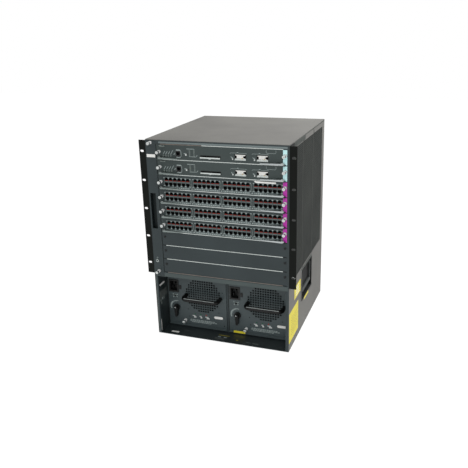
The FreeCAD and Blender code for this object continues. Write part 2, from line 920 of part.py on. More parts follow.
def heat_sink(x, y, z):
    base = block((x, x + sink_width), (y, y + sink_depth), (z, z + sink_base))
    pieces = [base]
    step = (sink_width - fin_sheet) / (sink_fins - 1)
    for index in range(sink_fins):
        fin_x = x + index * step
        pieces.append(block((fin_x, fin_x + fin_sheet), (y, y + sink_depth), (z, z + sink_height)))
    return joined(pieces)


def bare_board(slot):
    """Circuit board with its rear plug and a finned heat sink."""
    z = slot_floor(slot) + board_lift
    middle = (module_left + module_right) / 2
    sheet = block((rail_left + board_edge_gap, rail_right - board_edge_gap), (board_front, board_back),
                  (z, z + board_sheet))
    plug = block((middle - connector_width / 2, middle + connector_width / 2),
                 (board_back - connector_back, board_back + connector_overhang),
                 (z + board_sheet, z + board_sheet + connector_height))
    sink = heat_sink(middle - sink_width / 2, board_front + sink_setback, z + board_sheet)
    return [sheet, plug, sink]


def console_jack(slot):
    """Upright service socket in its own shielded housing."""
    x = module_left + console_across
    z = block_bottom(slot)
    body = block((x - console_width / 2, x + console_width / 2), (front - block_proud, front + console_depth),
                 (z, z + console_height))
    return body.cut(port_opening(x, z + console_hole_rise, False))


def card_slot_box(slot):
    """Memory card slot: a flat sleeve with a lip below its mouth."""
    x = module_left + card_slot_across
    z = slot_floor(slot) + card_slot_rise
    half = card_slot_width / 2
    sleeve = block((x - half, x + half), (front - block_proud, front + card_slot_depth),
                   (z, z + card_slot_height))
    mouth = block((x - half + card_slot_wall, x + half - card_slot_wall),
                  (front - block_proud - cut_over, front + card_slot_depth - card_slot_wall),
                  (z + card_slot_wall, z + card_slot_height - card_slot_wall))
    lip = block((x - half, x + half), (front - block_proud - card_lip_reach, front - block_proud),
                (z, z + card_slot_wall))
    return joined([sleeve.cut(mouth), lip])


def cage_box(slot, across):
    """A folded metal cage that takes a pluggable transceiver."""
    x = module_left + across
    z = slot_floor(slot) + cage_rise
    half = cage_width / 2
    body = block((x - half, x + half), (front - block_proud, front + cage_depth), (z, z + cage_height))
    hollow = block((x - half + cage_sheet, x + half - cage_sheet),
                   (front - block_proud - cut_over, front + cage_depth - cage_sheet),
                   (z + cage_sheet, z + cage_height - cage_sheet))
    return body.cut(hollow)


def fitted_hole(x, width, z, height):
    """A faceplate cut-out with a clearance around what passes through it."""
    return block((x - width / 2 - hole_fit, x + width / 2 + hole_fit),
                 (front - cut_over, front + face_sheet + cut_over), (z - hole_fit, z + height + hole_fit))


def controller_cutouts(slot):
    low = block_bottom(slot)
    cuts = [fitted_hole(module_left + console_across, console_width, low, console_height)]
    cuts.append(fitted_hole(module_left + card_slot_across, card_slot_width,
                            slot_floor(slot) + card_slot_rise, card_slot_height))
    for across in cage_across:
        cuts.append(fitted_hole(module_left + across, cage_width, slot_floor(slot) + cage_rise, cage_height))
    return cuts


def card_cutouts(slot):
    return [fitted_hole(block_left(index) + block_width / 2, block_width, block_bottom(slot), block_height)
            for index in range(block_count)]


def grille_x(index):
    return supply_left(index) + supply_width - grille_side


def supply_base():
    return base_sheet + runner_height


def supply_face_y():
    return front + supply_recess


def grille_cuts(centre_x, centre_z):
    """Square holes on a grid, kept where they fall inside a circle."""
    cuts = []
    count = int(grille_radius / grille_pitch)
    half = grille_hole / 2
    deep = (supply_face_y() - cut_over, supply_face_y() + supply_face_sheet + cut_over)
    for column in range(-count, count + 1):
        for row in range(-count, count + 1):
            x = centre_x + column * grille_pitch
            z = centre_z + row * grille_pitch
            if math.hypot(x - centre_x, z - centre_z) < grille_radius - half:
                cuts.append(block((x - half, x + half), deep, (z - half, z + half)))
    return cuts


def supply_inlet(index):
    """Moulded power inlet with three blades in its pocket."""
    x = supply_left(index) + inlet_across
    z = supply_base() + inlet_rise
    y = supply_face_y()
    half_x = inlet_width / 2
    half_z = inlet_height / 2
    body = block((x - half_x, x + half_x), (y - inlet_proud, y + inlet_depth), (z - half_z, z + half_z))
    pocket = block((x - half_x + inlet_wall, x + half_x - inlet_wall),
                   (y - inlet_proud - cut_over, y + inlet_pocket),
                   (z - half_z + inlet_wall, z + half_z - inlet_wall))
    blades = []
    for dx, dz in ((-blade_pin_offset, -blade_pin_offset), (blade_pin_offset, -blade_pin_offset),
                   (0, blade_pin_offset)):
        blades.append(block((x + dx - blade_pin_width / 2, x + dx + blade_pin_width / 2),
                            (y + inlet_pocket - blade_pin_length, y + inlet_pocket),
                            (z + dz - blade_pin_height / 2, z + dz + blade_pin_height / 2)))
    return joined([body.cut(pocket)] + blades)


def supply_fan_start():
    return supply_face_y() + supply_face_sheet + supply_fan_setback


def supply_panels(x0, y0, z0):
    """Floor, lid, sides and back of a supply, behind its front plate."""
    x1 = x0 + supply_width
    z1 = z0 + supply_height
    deep = (y0 + supply_face_sheet, supply_back)
    between = (z0 + supply_sheet, z1 - supply_sheet)
    return [
        block((x0, x1), deep, (z0, z0 + supply_sheet)),
        block((x0, x1), deep, (z1 - supply_sheet, z1)),
        block((x0, x0 + supply_sheet), deep, between),
        block((x1 - supply_sheet, x1), deep, between),
        block((x0 + supply_sheet, x1 - supply_sheet), (supply_back - supply_sheet, supply_back), between),
    ]


def supply_case(index):
    """Supply housing with its grille, inlet, fan carrier, switch pin and screw."""
    x0 = supply_left(index)
    y0 = supply_face_y()
    z0 = supply_base()
    fan_x = grille_x(index)
    fan_z = z0 + grille_rise
    inlet_x = x0 + inlet_across
    inlet_z = z0 + inlet_rise
    inlet_hole = block((inlet_x - inlet_width / 2, inlet_x + inlet_width / 2),
                       (y0 - cut_over, y0 + supply_face_sheet + cut_over),
                       (inlet_z - inlet_height / 2, inlet_z + inlet_height / 2))
    screw_x = x0 + supply_screw_across
    screw_z = z0 + supply_screw_rise
    screw_cut = rod(shank_radius, (screw_x, y0, screw_z), Y, shank_length)
    plate = block((x0, x0 + supply_width), (y0, y0 + supply_face_sheet), (z0, z0 + supply_height))
    plate = pierced(plate, grille_cuts(fan_x, fan_z) + [inlet_hole, screw_cut])
    switch_pin = rod(switch_pin_radius, (x0 + switch_across, y0, z0 + switch_rise), -Y,
                     switch_hub_length)
    baffle_y = y0 + baffle_setback
    baffle = block((x0 + supply_sheet, x0 + supply_width - supply_sheet),
                   (baffle_y, baffle_y + supply_sheet),
                   (z0 + supply_sheet, z0 + supply_height - supply_sheet))
    boss_front = supply_fan_start() + fan_depth + fan_side_gap
    boss = rod(fan_hub_radius, (fan_x, boss_front, fan_z), Y, baffle_y - boss_front)
    fan_pin = rod(fan_pin_radius, (fan_x, boss_front, fan_z), -Y, fan_depth + fan_side_gap)
    plug_x, plug_z = supply_connector_place(index)
    plug = block((plug_x, plug_x + supply_socket_width),
                 (supply_back, socket_front - supply_plug_gap),
                 (plug_z, plug_z + supply_socket_height))
    return [plate, switch_pin, baffle, boss, fan_pin, supply_inlet(index), plug,
            thumbscrew(screw_x, y0, screw_z)] + supply_panels(x0, y0, z0)


def supply_handle(index):
    """A round bail with bent corners that stands out across the grille."""
    middle = supply_left(index) + supply_width - supply_handle_side - supply_handle_width / 2
    radius = supply_handle_bar / 2
    z = supply_base() + supply_handle_rise
    y0 = supply_face_y()
    y1 = y0 - supply_handle_reach + radius
    x0 = middle - supply_handle_width / 2 + radius
    x1 = middle + supply_handle_width / 2 - radius
    bend = supply_handle_bend
    mid_bend = bend * (1 - math.sqrt(0.5))
    path = Part.Wire([
        Part.makeLine(V(x0, y0, z), V(x0, y1 + bend, z)),
        Part.Arc(V(x0, y1 + bend, z), V(x0 + mid_bend, y1 + mid_bend, z), V(x0 + bend, y1, z)).toShape(),
        Part.makeLine(V(x0 + bend, y1, z), V(x1 - bend, y1, z)),
        Part.Arc(V(x1 - bend, y1, z), V(x1 - mid_bend, y1 + mid_bend, z), V(x1, y1 + bend, z)).toShape(),
        Part.makeLine(V(x1, y1 + bend, z), V(x1, y0, z))])
    section = Part.Wire([Part.makeCircle(radius, V(x0, y0, z), Y)])
    return path.makePipeShell([section], True, False)


def supply_switch(index):
    """A turning knob with a long tail that stands over its pin."""
    x = supply_left(index) + switch_across
    z = supply_base() + switch_rise
    y = supply_face_y()
    hub = rod(switch_hub_radius, (0, 0, 0), Z, switch_hub_length - fan_side_gap)
    tail = tapered_link(V(0, 0, 0), switch_grip_radius, V(0, -switch_tail_reach, 0), switch_tail_radius,
                        switch_grip_length)
    knob = joined([hub, tail])
    knob = knob.cut(rod(switch_pin_radius + switch_pin_gap, (0, 0, 0), Z, switch_hub_length))
    knob.rotate(V(0, 0, 0), X, 90)
    knob.translate(V(x, y - fan_side_gap, z))
    return knob


def supply_fan_rotor(index):
    shape = rotor(supply_fan_radius)
    shape.rotate(V(0, 0, 0), X, -90)
    shape.translate(V(grille_x(index), supply_fan_start(), supply_base() + grille_rise))
    return shape


def write_chassis():
    save("base_pan", [base_pan()])
    save("side_panel_left", [side_panel(-1)])
    save("side_panel_right", [side_panel(1)])
    save("top_cover", [top_cover()])
    save("rear_cover", [rear_cover(), rear_post(-1), rear_post(1)])
    save("front_frame", front_frame())
    save("bay_shelf", [bay_shelf()])
    save("bay_divider", [bay_divider()])
    save("cage_wall_left", cage_wall(-1))
    save("cage_wall_right", cage_wall(1))
    save("backplane", backplane())
    save("rack_ear_left", [rack_ear(-1)])
    save("rack_ear_right", [rack_ear(1)])
    save("chassis_screws", chassis_screws())
    for side, name in ((-1, "left"), (1, "right")):
        save("handle_cup_" + name, [handle_cup(side)])
        save("side_handle_" + name, [side_handle(side)])


def write_fan_tray():
    save("fan_tray_frame", fan_tray_frame())
    for index in range(fan_rows * fan_columns):
        save("fan_rotor_" + str(index + 1), [tray_fan_rotor(index)])


def write_module(name, slot, cutouts, board):
    save(name + "_face", face_plate(slot, cutouts, True))
    save(name + "_board", board)
    for (pivot_x, towards, reach), side in zip(lever_pivots(), ("left", "right")):
        save(name + "_lever_" + side, [lever(slot, pivot_x, towards, reach)])


def write_modules():
    for slot in range(1, controller_count + 1):
        sockets = [console_jack(slot), card_slot_box(slot)]
        sockets += [cage_box(slot, across) for across in cage_across]
        write_module("controller_" + str(slot), slot, controller_cutouts(slot), bare_board(slot) + sockets)
    for index in range(card_count):
        slot = slot_of_card(index)
        blocks = [port_block(slot, number) for number in range(block_count)]
        write_module("port_card_" + str(slot), slot, card_cutouts(slot), bare_board(slot) + blocks)
    for slot in range(slot_of_card(card_count), slot_count + 1):
        save("blank_panel_" + str(slot), face_plate(slot, [], False))


def write_supplies():
    for index, side in enumerate(("left", "right")):
        name = "power_supply_" + side
        save(name + "_case", supply_case(index))
        save(name + "_handle", [supply_handle(index)])
        save(name + "_switch_knob", [supply_switch(index)])
        save(name + "_fan_rotor", [supply_fan_rotor(index)])


os.makedirs("parts", exist_ok=True)
write_chassis()
write_fan_tray()
write_modules()
write_supplies()
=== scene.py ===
# %% [markdown]
# # Dressing a modular network chassis
# The metalwork, boards, levers and fans of this switch come ready made as a fixed frame, each node
# at its true place in metres. This lesson adds what the eye meets first: paint, bright metal,
# perforated sheet, knurled screws, coloured strips, sockets and small printed marks.

# %% Load the frame
import bpy
import bmesh
import math
import numpy as np
from mathutils import Matrix, Vector


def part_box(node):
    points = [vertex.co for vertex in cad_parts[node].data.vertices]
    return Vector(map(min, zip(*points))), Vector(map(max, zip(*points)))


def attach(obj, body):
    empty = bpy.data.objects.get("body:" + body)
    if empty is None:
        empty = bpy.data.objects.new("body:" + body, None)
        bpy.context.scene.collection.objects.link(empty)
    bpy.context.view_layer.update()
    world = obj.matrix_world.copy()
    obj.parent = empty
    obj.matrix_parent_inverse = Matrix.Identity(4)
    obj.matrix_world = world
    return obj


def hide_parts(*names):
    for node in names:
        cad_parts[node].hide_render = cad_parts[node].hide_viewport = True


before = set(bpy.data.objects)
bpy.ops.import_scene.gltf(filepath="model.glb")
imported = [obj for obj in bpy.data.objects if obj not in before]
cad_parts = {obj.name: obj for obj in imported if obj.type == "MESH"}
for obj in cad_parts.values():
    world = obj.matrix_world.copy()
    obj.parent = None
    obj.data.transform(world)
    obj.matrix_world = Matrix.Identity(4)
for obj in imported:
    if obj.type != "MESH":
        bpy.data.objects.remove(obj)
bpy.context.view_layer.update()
print("nodes in the frame:", len(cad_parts))

# %% [markdown]
# ## The camera
# The photograph looks down on the chassis from its right front corner. The camera stands where a
# fit to ten corners of the chassis puts it, so that the picture lines up with the photograph.

# %% Camera
azimuth, elevation, roll = 0.3501, 0.3379, -0.0267
camera_place = (0.62906, -1.81400, 0.95982)
sensor_width, focal_length = 36.0, 46.5


def placed(name, data):
    """A new object in the scene, at the origin and unturned."""
    made = bpy.data.objects.new(name, data)
    bpy.context.scene.collection.objects.link(made)
    return made


forward = Vector((-math.sin(azimuth) * math.cos(elevation), math.cos(azimuth) * math.cos(elevation),
                  -math.sin(elevation)))
level_right = forward.cross(Vector((0, 0, 1))).normalized()
level_up = level_right.cross(forward)
camera_right = level_right * math.cos(roll) + level_up * math.sin(roll)
camera_up = level_up * math.cos(roll) - level_right * math.sin(roll)
camera_data = bpy.data.cameras.new("camera")
camera_data.sensor_width = sensor_width
camera_data.lens = focal_length
camera = placed("camera", camera_data)
turn = Matrix((camera_right, camera_up, -forward)).transposed().to_4x4()
camera.matrix_world = Matrix.Translation(camera_place) @ turn
bpy.context.scene.camera = camera
print("camera at", tuple(round(v, 3) for v in camera.location))

# %% [markdown]
# ## Colours and nodes
# Colours are written as the hex values a screen shows, and one function turns them into the
# linear values that the shaders expect. One more function adds any shader node with its values
# and links, which keeps each material short enough to read.

# %% Helpers for materials
def linear(code):
    """Linear colour with alpha from a hex colour."""
    parts = [int(code[i:i + 2], 16) / 255 for i in (1, 3, 5)]
    return [v / 12.92 if v <= 0.04045 else ((v + 0.055) / 1.055) ** 2.4 for v in parts] + [1.0]


def add(tree, kind, values=None, links=None, ramp=None, **settings):
    """Adds a node: settings are its own, values fill sockets, links join them."""
    made = tree.nodes.new(kind)
    for name, value in settings.items():
        setattr(made, name, value)
    for socket, value in (values or {}).items():
        made.inputs[socket].default_value = value
    for socket, source in (links or {}).items():
        tree.links.new(source, made.inputs[socket])
    if ramp:
        for element, (place, colour) in zip(made.color_ramp.elements, ramp):
            element.position = place
            element.color = linear(colour)
    return made


def new_material(name):
    """A material with its node tree and its shader."""
    material = bpy.data.materials.new(name)
    material.use_nodes = True
    tree = material.node_tree
    return material, tree, tree.nodes["Principled BSDF"]


def per_mm(size):
    """Texture scale for a feature of that many millimetres, with coordinates in metres."""
    return 1000.0 / size


print("white as linear:", linear("#ffffff"))

# %% [markdown]
# ## Surface finishes
# Most of the chassis is folded steel with a baked powder coat. Up close such paint has a fine
# orange peel, and over a whole panel its shade drifts a little. One noise texture drifts between
# two shades and a finer one varies the gloss. The same recipe, with other numbers, makes moulded
# plastic, plated steel and printed labels.

# %% A surface with a drifting shade and a fine grain
def surface(name, dark, light, rough=(0.4, 0.5), metallic=0.0, ior=1.5, grain_mm=1.5, depth_mm=0.02,
            patch_mm=160.0, stretch=(1, 1, 1), shine=0.5):
    """A finish between two shades, with a range of roughness and a grain of a given size."""
    material, tree, shader = new_material(name)
    place = add(tree, "ShaderNodeTexCoord").outputs["Object"]
    drawn = add(tree, "ShaderNodeMapping", {"Scale": stretch}, {"Vector": place}).outputs[0]
    drift = add(tree, "ShaderNodeTexNoise", {"Scale": per_mm(patch_mm), "Detail": 5.0}, {"Vector": drawn})
    shade = add(tree, "ShaderNodeValToRGB", links={"Fac": drift.outputs["Fac"]},
                ramp=[(0.3, dark), (0.7, light)])
    noise = add(tree, "ShaderNodeTexNoise", {"Scale": per_mm(grain_mm), "Detail": 2.0}, {"Vector": drawn})
    grain = noise.outputs["Fac"]
    dull = add(tree, "ShaderNodeMapRange", {"To Min": rough[0], "To Max": rough[1]}, {"Value": grain})
    bump = add(tree, "ShaderNodeBump", {"Strength": 0.4, "Distance": depth_mm / 1000}, {"Height": grain})
    tree.links.new(shade.outputs["Color"], shader.inputs["Base Color"])
    tree.links.new(dull.outputs["Result"], shader.inputs["Roughness"])
    tree.links.new(bump.outputs["Normal"], shader.inputs["Normal"])
    for socket, value in (("Metallic", metallic), ("IOR", ior), ("Specular IOR Level", shine)):
        shader.inputs[socket].default_value = value
    return material


print("noise scale of a 1.5 mm grain:", round(per_mm(1.5)))

# %% Powder coats and enamels
# Baked powder coat on steel: an even half gloss with soft highlights. The grey covers are flatter.
half_gloss, flat, deep_flat = (0.42, 0.55), (0.5, 0.65), (0.65, 0.8)
slate_coat = surface("slate_powder_coat", "#2c3537", "#343e40", half_gloss, shine=0.35)
controller_coat = surface("controller_face_coat", "#374140", "#404a49", half_gloss, shine=0.35)
card_coat = surface("card_powder_coat", "#303a3b", "#394344", half_gloss, shine=0.35)
supply_coat = surface("supply_powder_coat", "#394446", "#434e50", half_gloss)
bay_coat = surface("dark_bay_coat", "#1f2627", "#2a3233", (0.3, 0.42))
# The finger recess of the fan tray: the slate drawn darker, as painted shade.
recess_shade = surface("shaded_finger_recess", "#151b1c", "#1d2526", shine=0.3)
black_coat = surface("black_powder_coat", "#080b08", "#0c100c", flat, shine=0.15)
grey_coat = surface("grey_powder_coat", "#6d6c69", "#787773", (0.6, 0.75), grain_mm=2.2, depth_mm=0.04,
                    shine=0.25)
screen_coat = surface("shaded_screen_coat", "#3c3f3d", "#474a47", deep_flat, grain_mm=2.2, shine=0.15)
bail_grey = surface("grey_painted_bail", "#343938", "#3e4442", flat, shine=0.25)
black_bail = surface("black_bail_enamel", "#060707", "#0a0b0b", (0.34, 0.46), shine=0.3)
# Painted shade: paint in folds, seams and shadows is drawn darker and flatter.
# Painted highlights: the lit edges of the header and the sill and the top of the bail are drawn lighter.
seam_shade = surface("folded_seam_shade", "#4b4f4c", "#565a56", deep_flat, shine=0.15)
post_shade = surface("shaded_post_coat", "#3b3e3b", "#434643", deep_flat, shine=0.1)
fold_dark = surface("deep_fold_shade", "#1f2221", "#2a2d2b", (0.7, 0.8), shine=0.1)
bright_edge = surface("painted_slate_highlight", "#6a7677", "#758182", (0.45, 0.55), shine=0.4)
lip_edge = surface("painted_sill_highlight", "#444e4e", "#4c5756", (0.5, 0.6), shine=0.4)
bay_grey = surface("bare_bay_patch", "#4b504e", "#5a5f5d", flat, patch_mm=6.0, shine=0.2)
bail_glint = surface("painted_bail_glint", "#a4acaa", "#b4bcba", shine=0.4)
print("coats:", len(bpy.data.materials))

# %% Bare and plated metal
# Plating and bare sheet: bright, sharp reflections, clouded in small patches where they tarnish.
zinc_plate = surface("zinc_plated_sheet", "#8f9290", "#a9acaa", (0.28, 0.42), metallic=1.0, patch_mm=14.0)
# The cage walls seen through the screens: zinc drawn dark, as painted shade.
zinc_shade = surface("shaded_zinc_sheet", "#2b2d2c", "#3a3c3b", flat, metallic=0.8, patch_mm=14.0)
lever_metal = surface("satin_aluminium", "#a9b0b1", "#c6cbcb", (0.3, 0.45), metallic=1.0, grain_mm=0.8,
                      stretch=(0.06, 1, 1))
dull_lever = surface("dull_aluminium", "#78827f", "#8e9896", metallic=0.6, grain_mm=0.8)
nickel = surface("nickel_plated_steel", "#c2c6c5", "#dadddb", (0.2, 0.32), metallic=1.0, patch_mm=6.0)
screw_black = surface("blackened_screw_steel", "#121516", "#1a1e1f", (0.3, 0.45), metallic=0.4, patch_mm=6.0)
# The screw collars are drawn near white and matt, not metallic: a painted highlight for their bright plating.
collar_highlight = surface("painted_collar_highlight", "#eceeed", "#f8f9f8", patch_mm=6.0, shine=0.6)
gasket_steel = surface("gasket_spring_steel", "#c3cbc8", "#dbe1de", (0.3, 0.45), metallic=0.3, patch_mm=9.0)
# A darker copy of the contact strip: on the lowest slot it is painted shade, elsewhere it darkens the left
# part of a strip.
gasket_darker = surface("darker_gasket_strip", "#6d665f", "#837a72", (0.35, 0.5), metallic=0.3, patch_mm=9.0)
tinned_cage = surface("tinned_cage_sheet", "#cfd0cc", "#e8e8e4", (0.22, 0.36), metallic=0.8, patch_mm=5.0)
black_anodised = surface("black_anodised_sink", "#1a1c1d", "#242728", (0.35, 0.5), metallic=0.6)
print("coats and metals:", len(bpy.data.materials))

# %% Mouldings and board
# Moulded plastic: matt and dark, with the fine grain of its mould. The board's mask is glossier.
black_abs = surface("black_moulded_abs", "#0a0c0c", "#101212", (0.35, 0.5), grain_mm=0.9, depth_mm=0.03,
                    shine=0.2)
cup_black = surface("pocket_black_plastic", "#121514", "#1a1e1c", (0.6, 0.75), shine=0.15)
port_plastic = surface("grey_port_moulding", "#394345", "#434e50", (0.4, 0.55), grain_mm=0.8, shine=0.3)
# Near black inside sockets and other holes, where little light reaches: painted shade.
socket_dark = surface("socket_inside", "#060707", "#0c0e0e", (0.5, 0.7), grain_mm=0.8)
web_plastic = surface("pale_port_trim", "#6f7976", "#838c88", (0.45, 0.6), patch_mm=7.0, shine=0.3)
plug_black = surface("connector_moulding", "#101213", "#191c1d", (0.4, 0.55), grain_mm=0.7)
solder_mask = surface("green_solder_mask", "#12402a", "#1a5136", (0.25, 0.4), patch_mm=40.0)
print("with mouldings:", len(bpy.data.materials))

# %% Films, inks and lenses
# Film and ink: flat fields of colour with a slight sheen. A lens is smooth, and dark when unlit.
lens_gloss = (0.15, 0.22)
white_film = surface("white_label_film", "#ecece8", "#f6f6f2", patch_mm=12.0)
cyan_film = surface("cyan_label_film", "#c8f7fa", "#d8fdfe", patch_mm=12.0)
magenta_film = surface("magenta_label_film", "#b92aa6", "#c938b6", (0.35, 0.45), patch_mm=12.0)
yellow_film = surface("yellow_label_film", "#dfcf2c", "#e9dc42", (0.45, 0.55), patch_mm=12.0, shine=0.3)
ochre_ink = surface("ochre_label_ink", "#8f8527", "#a2972f", (0.5, 0.6), patch_mm=5.0)
pale_ink = surface("pale_screen_ink", "#8a9695", "#a0aba9", (0.5, 0.6), patch_mm=5.0, shine=0.3)
white_ink = surface("white_screen_ink", "#c3c8c6", "#d6dad8", (0.5, 0.6), patch_mm=5.0)
red_strip = surface("red_light_strip", "#7c1f16", "#98301f", patch_mm=5.0, shine=0.3)
smoke_lens = surface("unlit_indicator_lens", "#1c2d28", "#263a34", (0.2, 0.3), patch_mm=3.0)
green_lens = surface("green_indicator_lens", "#145238", "#1d6e4b", lens_gloss, patch_mm=3.0)
red_lens = surface("red_indicator_lens", "#8f231b", "#b33225", lens_gloss, patch_mm=3.0)
amber_lens = surface("amber_indicator_lens", "#c8992a", "#e0b244", lens_gloss, patch_mm=3.0)
print("all materials:", len(bpy.data.materials))

# %% [markdown]
# ## Painting the frame's nodes
# A node can hold several solids: a faceplate brings its gasket and its screws along. The mesh must
# stay as it is, but each face may point to its own material, so faces are sorted by where their
# centres lie. Rules are tried in order, and what no rule takes keeps the first material.

# %% Sort faces by place
def dress(node, base, rules=()):
    """Gives a node its material, and some of its faces others, by tests on centre and normal in mm."""
    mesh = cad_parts[node].data
    count = len(mesh.polygons)
    centres = np.zeros(count * 3)
    normals = np.zeros(count * 3)
    mesh.polygons.foreach_get("center", centres)
    mesh.polygons.foreach_get("normal", normals)
    x, y, z = (centres.reshape(-1, 3) * 1000).T
    normals = normals.reshape(-1, 3).T
    mesh.materials.clear()
    for material in [base] + [rule[0] for rule in rules]:
        mesh.materials.append(material)
    index = np.zeros(count, dtype=np.int32)
    for number, (material, test) in enumerate(rules, start=1):
        index[test(x, y, z, normals) & (index == 0)] = number
    mesh.polygons.foreach_set("material_index", index)
    mesh.update()


def span(node):
    """Lowest and highest corner of a node, in millimetres."""
    low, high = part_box(node)
    return low * 1000, high * 1000


front = span("front_frame")[0].y
half_width = span("front_frame")[1].x
plate_back = front + 1.9
# How far past a plane a face has to lie to count as proud of it
hair = 0.01
print("front plane at", round(front, 2), "mm, half width", round(half_width, 2), "mm")

# %% Sheet metal, ears and fans
plain_nodes = {"base_pan": bay_coat, "bay_shelf": bay_coat, "bay_divider": slate_coat,
               "front_frame": slate_coat, "top_cover": grey_coat, "chassis_screws": nickel}
paired_nodes = {"cage_wall": zinc_shade, "rack_ear": black_coat, "handle_cup": cup_black,
                "side_handle": bail_grey}
for name, coat in paired_nodes.items():
    plain_nodes.update({name + "_left": coat, name + "_right": coat})
for name in ["fan_rotor_%d" % number for number in range(1, 7)]:
    plain_nodes[name] = black_abs
for name, coat in plain_nodes.items():
    dress(name, coat)
corner_posts_front, backplane_front = -front - 1.6, 202.5
dress("rear_cover", grey_coat, [(zinc_plate, lambda x, y, z, n: y < corner_posts_front)])
dress("backplane", solder_mask, [(plug_black, lambda x, y, z, n: y < backplane_front)])
print("plain nodes:", len(plain_nodes))

# %% [markdown]
# ## Modules
# Slots count from the top. The two upper modules are controllers, the next four carry sockets and
# the last three are blank panels. A slot's floor is known from its faceplate, and everything on a
# faceplate is placed from that height.

# %% Faceplates with their gaskets, screws and pins
controllers = ["controller_1", "controller_2"]
cards = ["port_card_3", "port_card_4", "port_card_5", "port_card_6"]
blanks = ["blank_panel_7", "blank_panel_8", "blank_panel_9"]
face_node = {name: name + "_face" for name in controllers + cards}
face_node.update({name: name for name in blanks})
floor_of = {name: span(node)[0].z - 0.2 for name, node in face_node.items()}
left_screw_x, right_screw_x = -175.0, 207.5
left_screw_rise, right_screw_rise, flat_screw_rise = 24.0, 29.0, 26.5
lever_pivots = (-171.5, 200.7)
gasket_height, darker_gasket_end = 2.15, -60.0


def nearest(x, first, second):
    """How far x is from the nearer of two places."""
    return np.minimum(abs(x - first), abs(x - second))


def behind(x, y, z, n):
    """What lies behind the front sheet: it isn't painted."""
    return y > plate_back


def face_rules(name):
    """Finishes for what a faceplate carries, by height over the floor of its slot."""
    floor = floor_of[name]

    def gasket(x, y, z, n):
        return z < floor + gasket_height

    def darker_end(x, y, z, n):
        return gasket(x, y, z, n) & (x < darker_gasket_end)

    def flat_screws(x, y, z, n):
        near = nearest(x, left_screw_x, right_screw_x)
        return (y < front - hair) & (near < 6.5) & (abs(z - floor - flat_screw_rise) < 9.0)

    def pins(x, y, z, n):
        return (y < front - 2) & (nearest(x, *lever_pivots) < 4.2) & (z > floor + 3.7) & (z < floor + 12)

    if name in blanks:
        # The lowest slot's strip is drawn darker: painted shade.
        strip = gasket_darker if name == blanks[-1] else gasket_steel
        return [(strip, gasket), (screw_black, flat_screws), (zinc_plate, behind)]
    ends = [(gasket_darker, darker_end)] if name == controllers[0] else []
    return ends + [(gasket_steel, gasket), (nickel, pins), (zinc_plate, behind)]


for group, coat in ((controllers, controller_coat), (cards, card_coat), (blanks, slate_coat)):
    for name in group:
        dress(face_node[name], coat, face_rules(name))
print("faceplates:", len(face_node))

# %% [markdown]
# ## Ejector levers
# A lever is a flat arm that thins towards its tip. The ready made arm keeps one height, so a copy of
# it is shown in its place, with the far vertices moved along the arm and pressed together.

# %% Levers that thin towards the tip
tip_start, tip_share = 9.0, 0.55
left_tip_shift, right_tip_shift = 6.0, -16.0


def stand_in(node, mesh, body):
    """Shows a changed copy of a node's mesh in place of the node."""
    copy = placed(node + "_shape", mesh)
    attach(copy, body)
    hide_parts(node)
    return copy


def slim_lever(node, metal, pivot, shift):
    """A lever whose arm, past its hub, is thinner and has its tip moved along the arm."""
    dress(node, metal)
    foot = span(node)[0].z
    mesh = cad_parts[node].data.copy()
    for vert in mesh.vertices:
        out = vert.co.x * 1000 - pivot
        if abs(out) > tip_start:
            vert.co.x += math.copysign(1, out) * shift / 1000
            vert.co.z = (foot + (vert.co.z * 1000 - foot) * tip_share) / 1000
    stand_in(node, mesh, node)


for name in controllers + cards:
    slim_lever(name + "_lever_left", dull_lever, lever_pivots[0], left_tip_shift)
    slim_lever(name + "_lever_right", lever_metal, lever_pivots[1], right_tip_shift)
print("levers shaped:", 2 * len(controllers + cards))

# %% [markdown]
# ## Boards, fan tray and supplies
# Behind each faceplate are a board with its mask, a plug and a black heat sink. Sockets are real
# cavities in the port blocks, and their walls are made dark, since little light reaches them.

# %% Boards and sockets
block_starts = [-165.0 + index * 93.3 for index in range(4)]
block_width = 84.0
block_edges = [start + side for start in block_starts for side in (0.0, block_width)]
laminate_low, laminate_top, board_start = 7.8, 9.55, 9.0
plug_depth, sink_start, sink_end = 14.5, 150.0, 300.0
socket_depth, block_top = 23.9, 39.45


def board_rules(name):
    """Finishes of the laminate, the rear plug and the heat sink of a module."""
    floor = floor_of[name]
    plug_front = span(name + "_board")[1].y - plug_depth

    def laminate(x, y, z, n):
        return (z > floor + laminate_low) & (z < floor + laminate_top) & (y > front + board_start)

    def rear_plug(x, y, z, n):
        return y > plug_front

    def sink(x, y, z, n):
        return (y > front + sink_start) & (y < front + sink_end)

    return [(solder_mask, laminate), (plug_black, rear_plug), (black_anodised, sink)]


def socket_walls(floor):
    """A test for the walls of the sockets in a port card, without the outer sides of its blocks."""
    def walls(x, y, z, n):
        deep = (y > front - 0.55) & (y < front + socket_depth)
        inner = deep & (z > floor + laminate_top) & (z < floor + block_top)
        outer = (abs(n[0]) > 0.9) & (np.minimum.reduce([abs(x - edge) for edge in block_edges]) < 0.05)
        return inner & ~outer

    return walls


def console(x, y, z, n):
    """The body of the service socket, left of the load meter."""
    return (x < -100) & (x > -130) & (y < front + 21)


def cage_mouths(x, y, z, n):
    """The card slot and the two transceiver cages, right of the load meter."""
    return (x > -60) & (y < front + 61)


for name in cards:
    dress(name + "_board", port_plastic, board_rules(name) + [(socket_dark, socket_walls(floor_of[name]))])
for name in controllers:
    mouths = [(plug_black, console), (socket_dark, cage_mouths)]
    dress(name + "_board", tinned_cage, board_rules(name) + mouths)
print("boards:", len(cards + controllers))

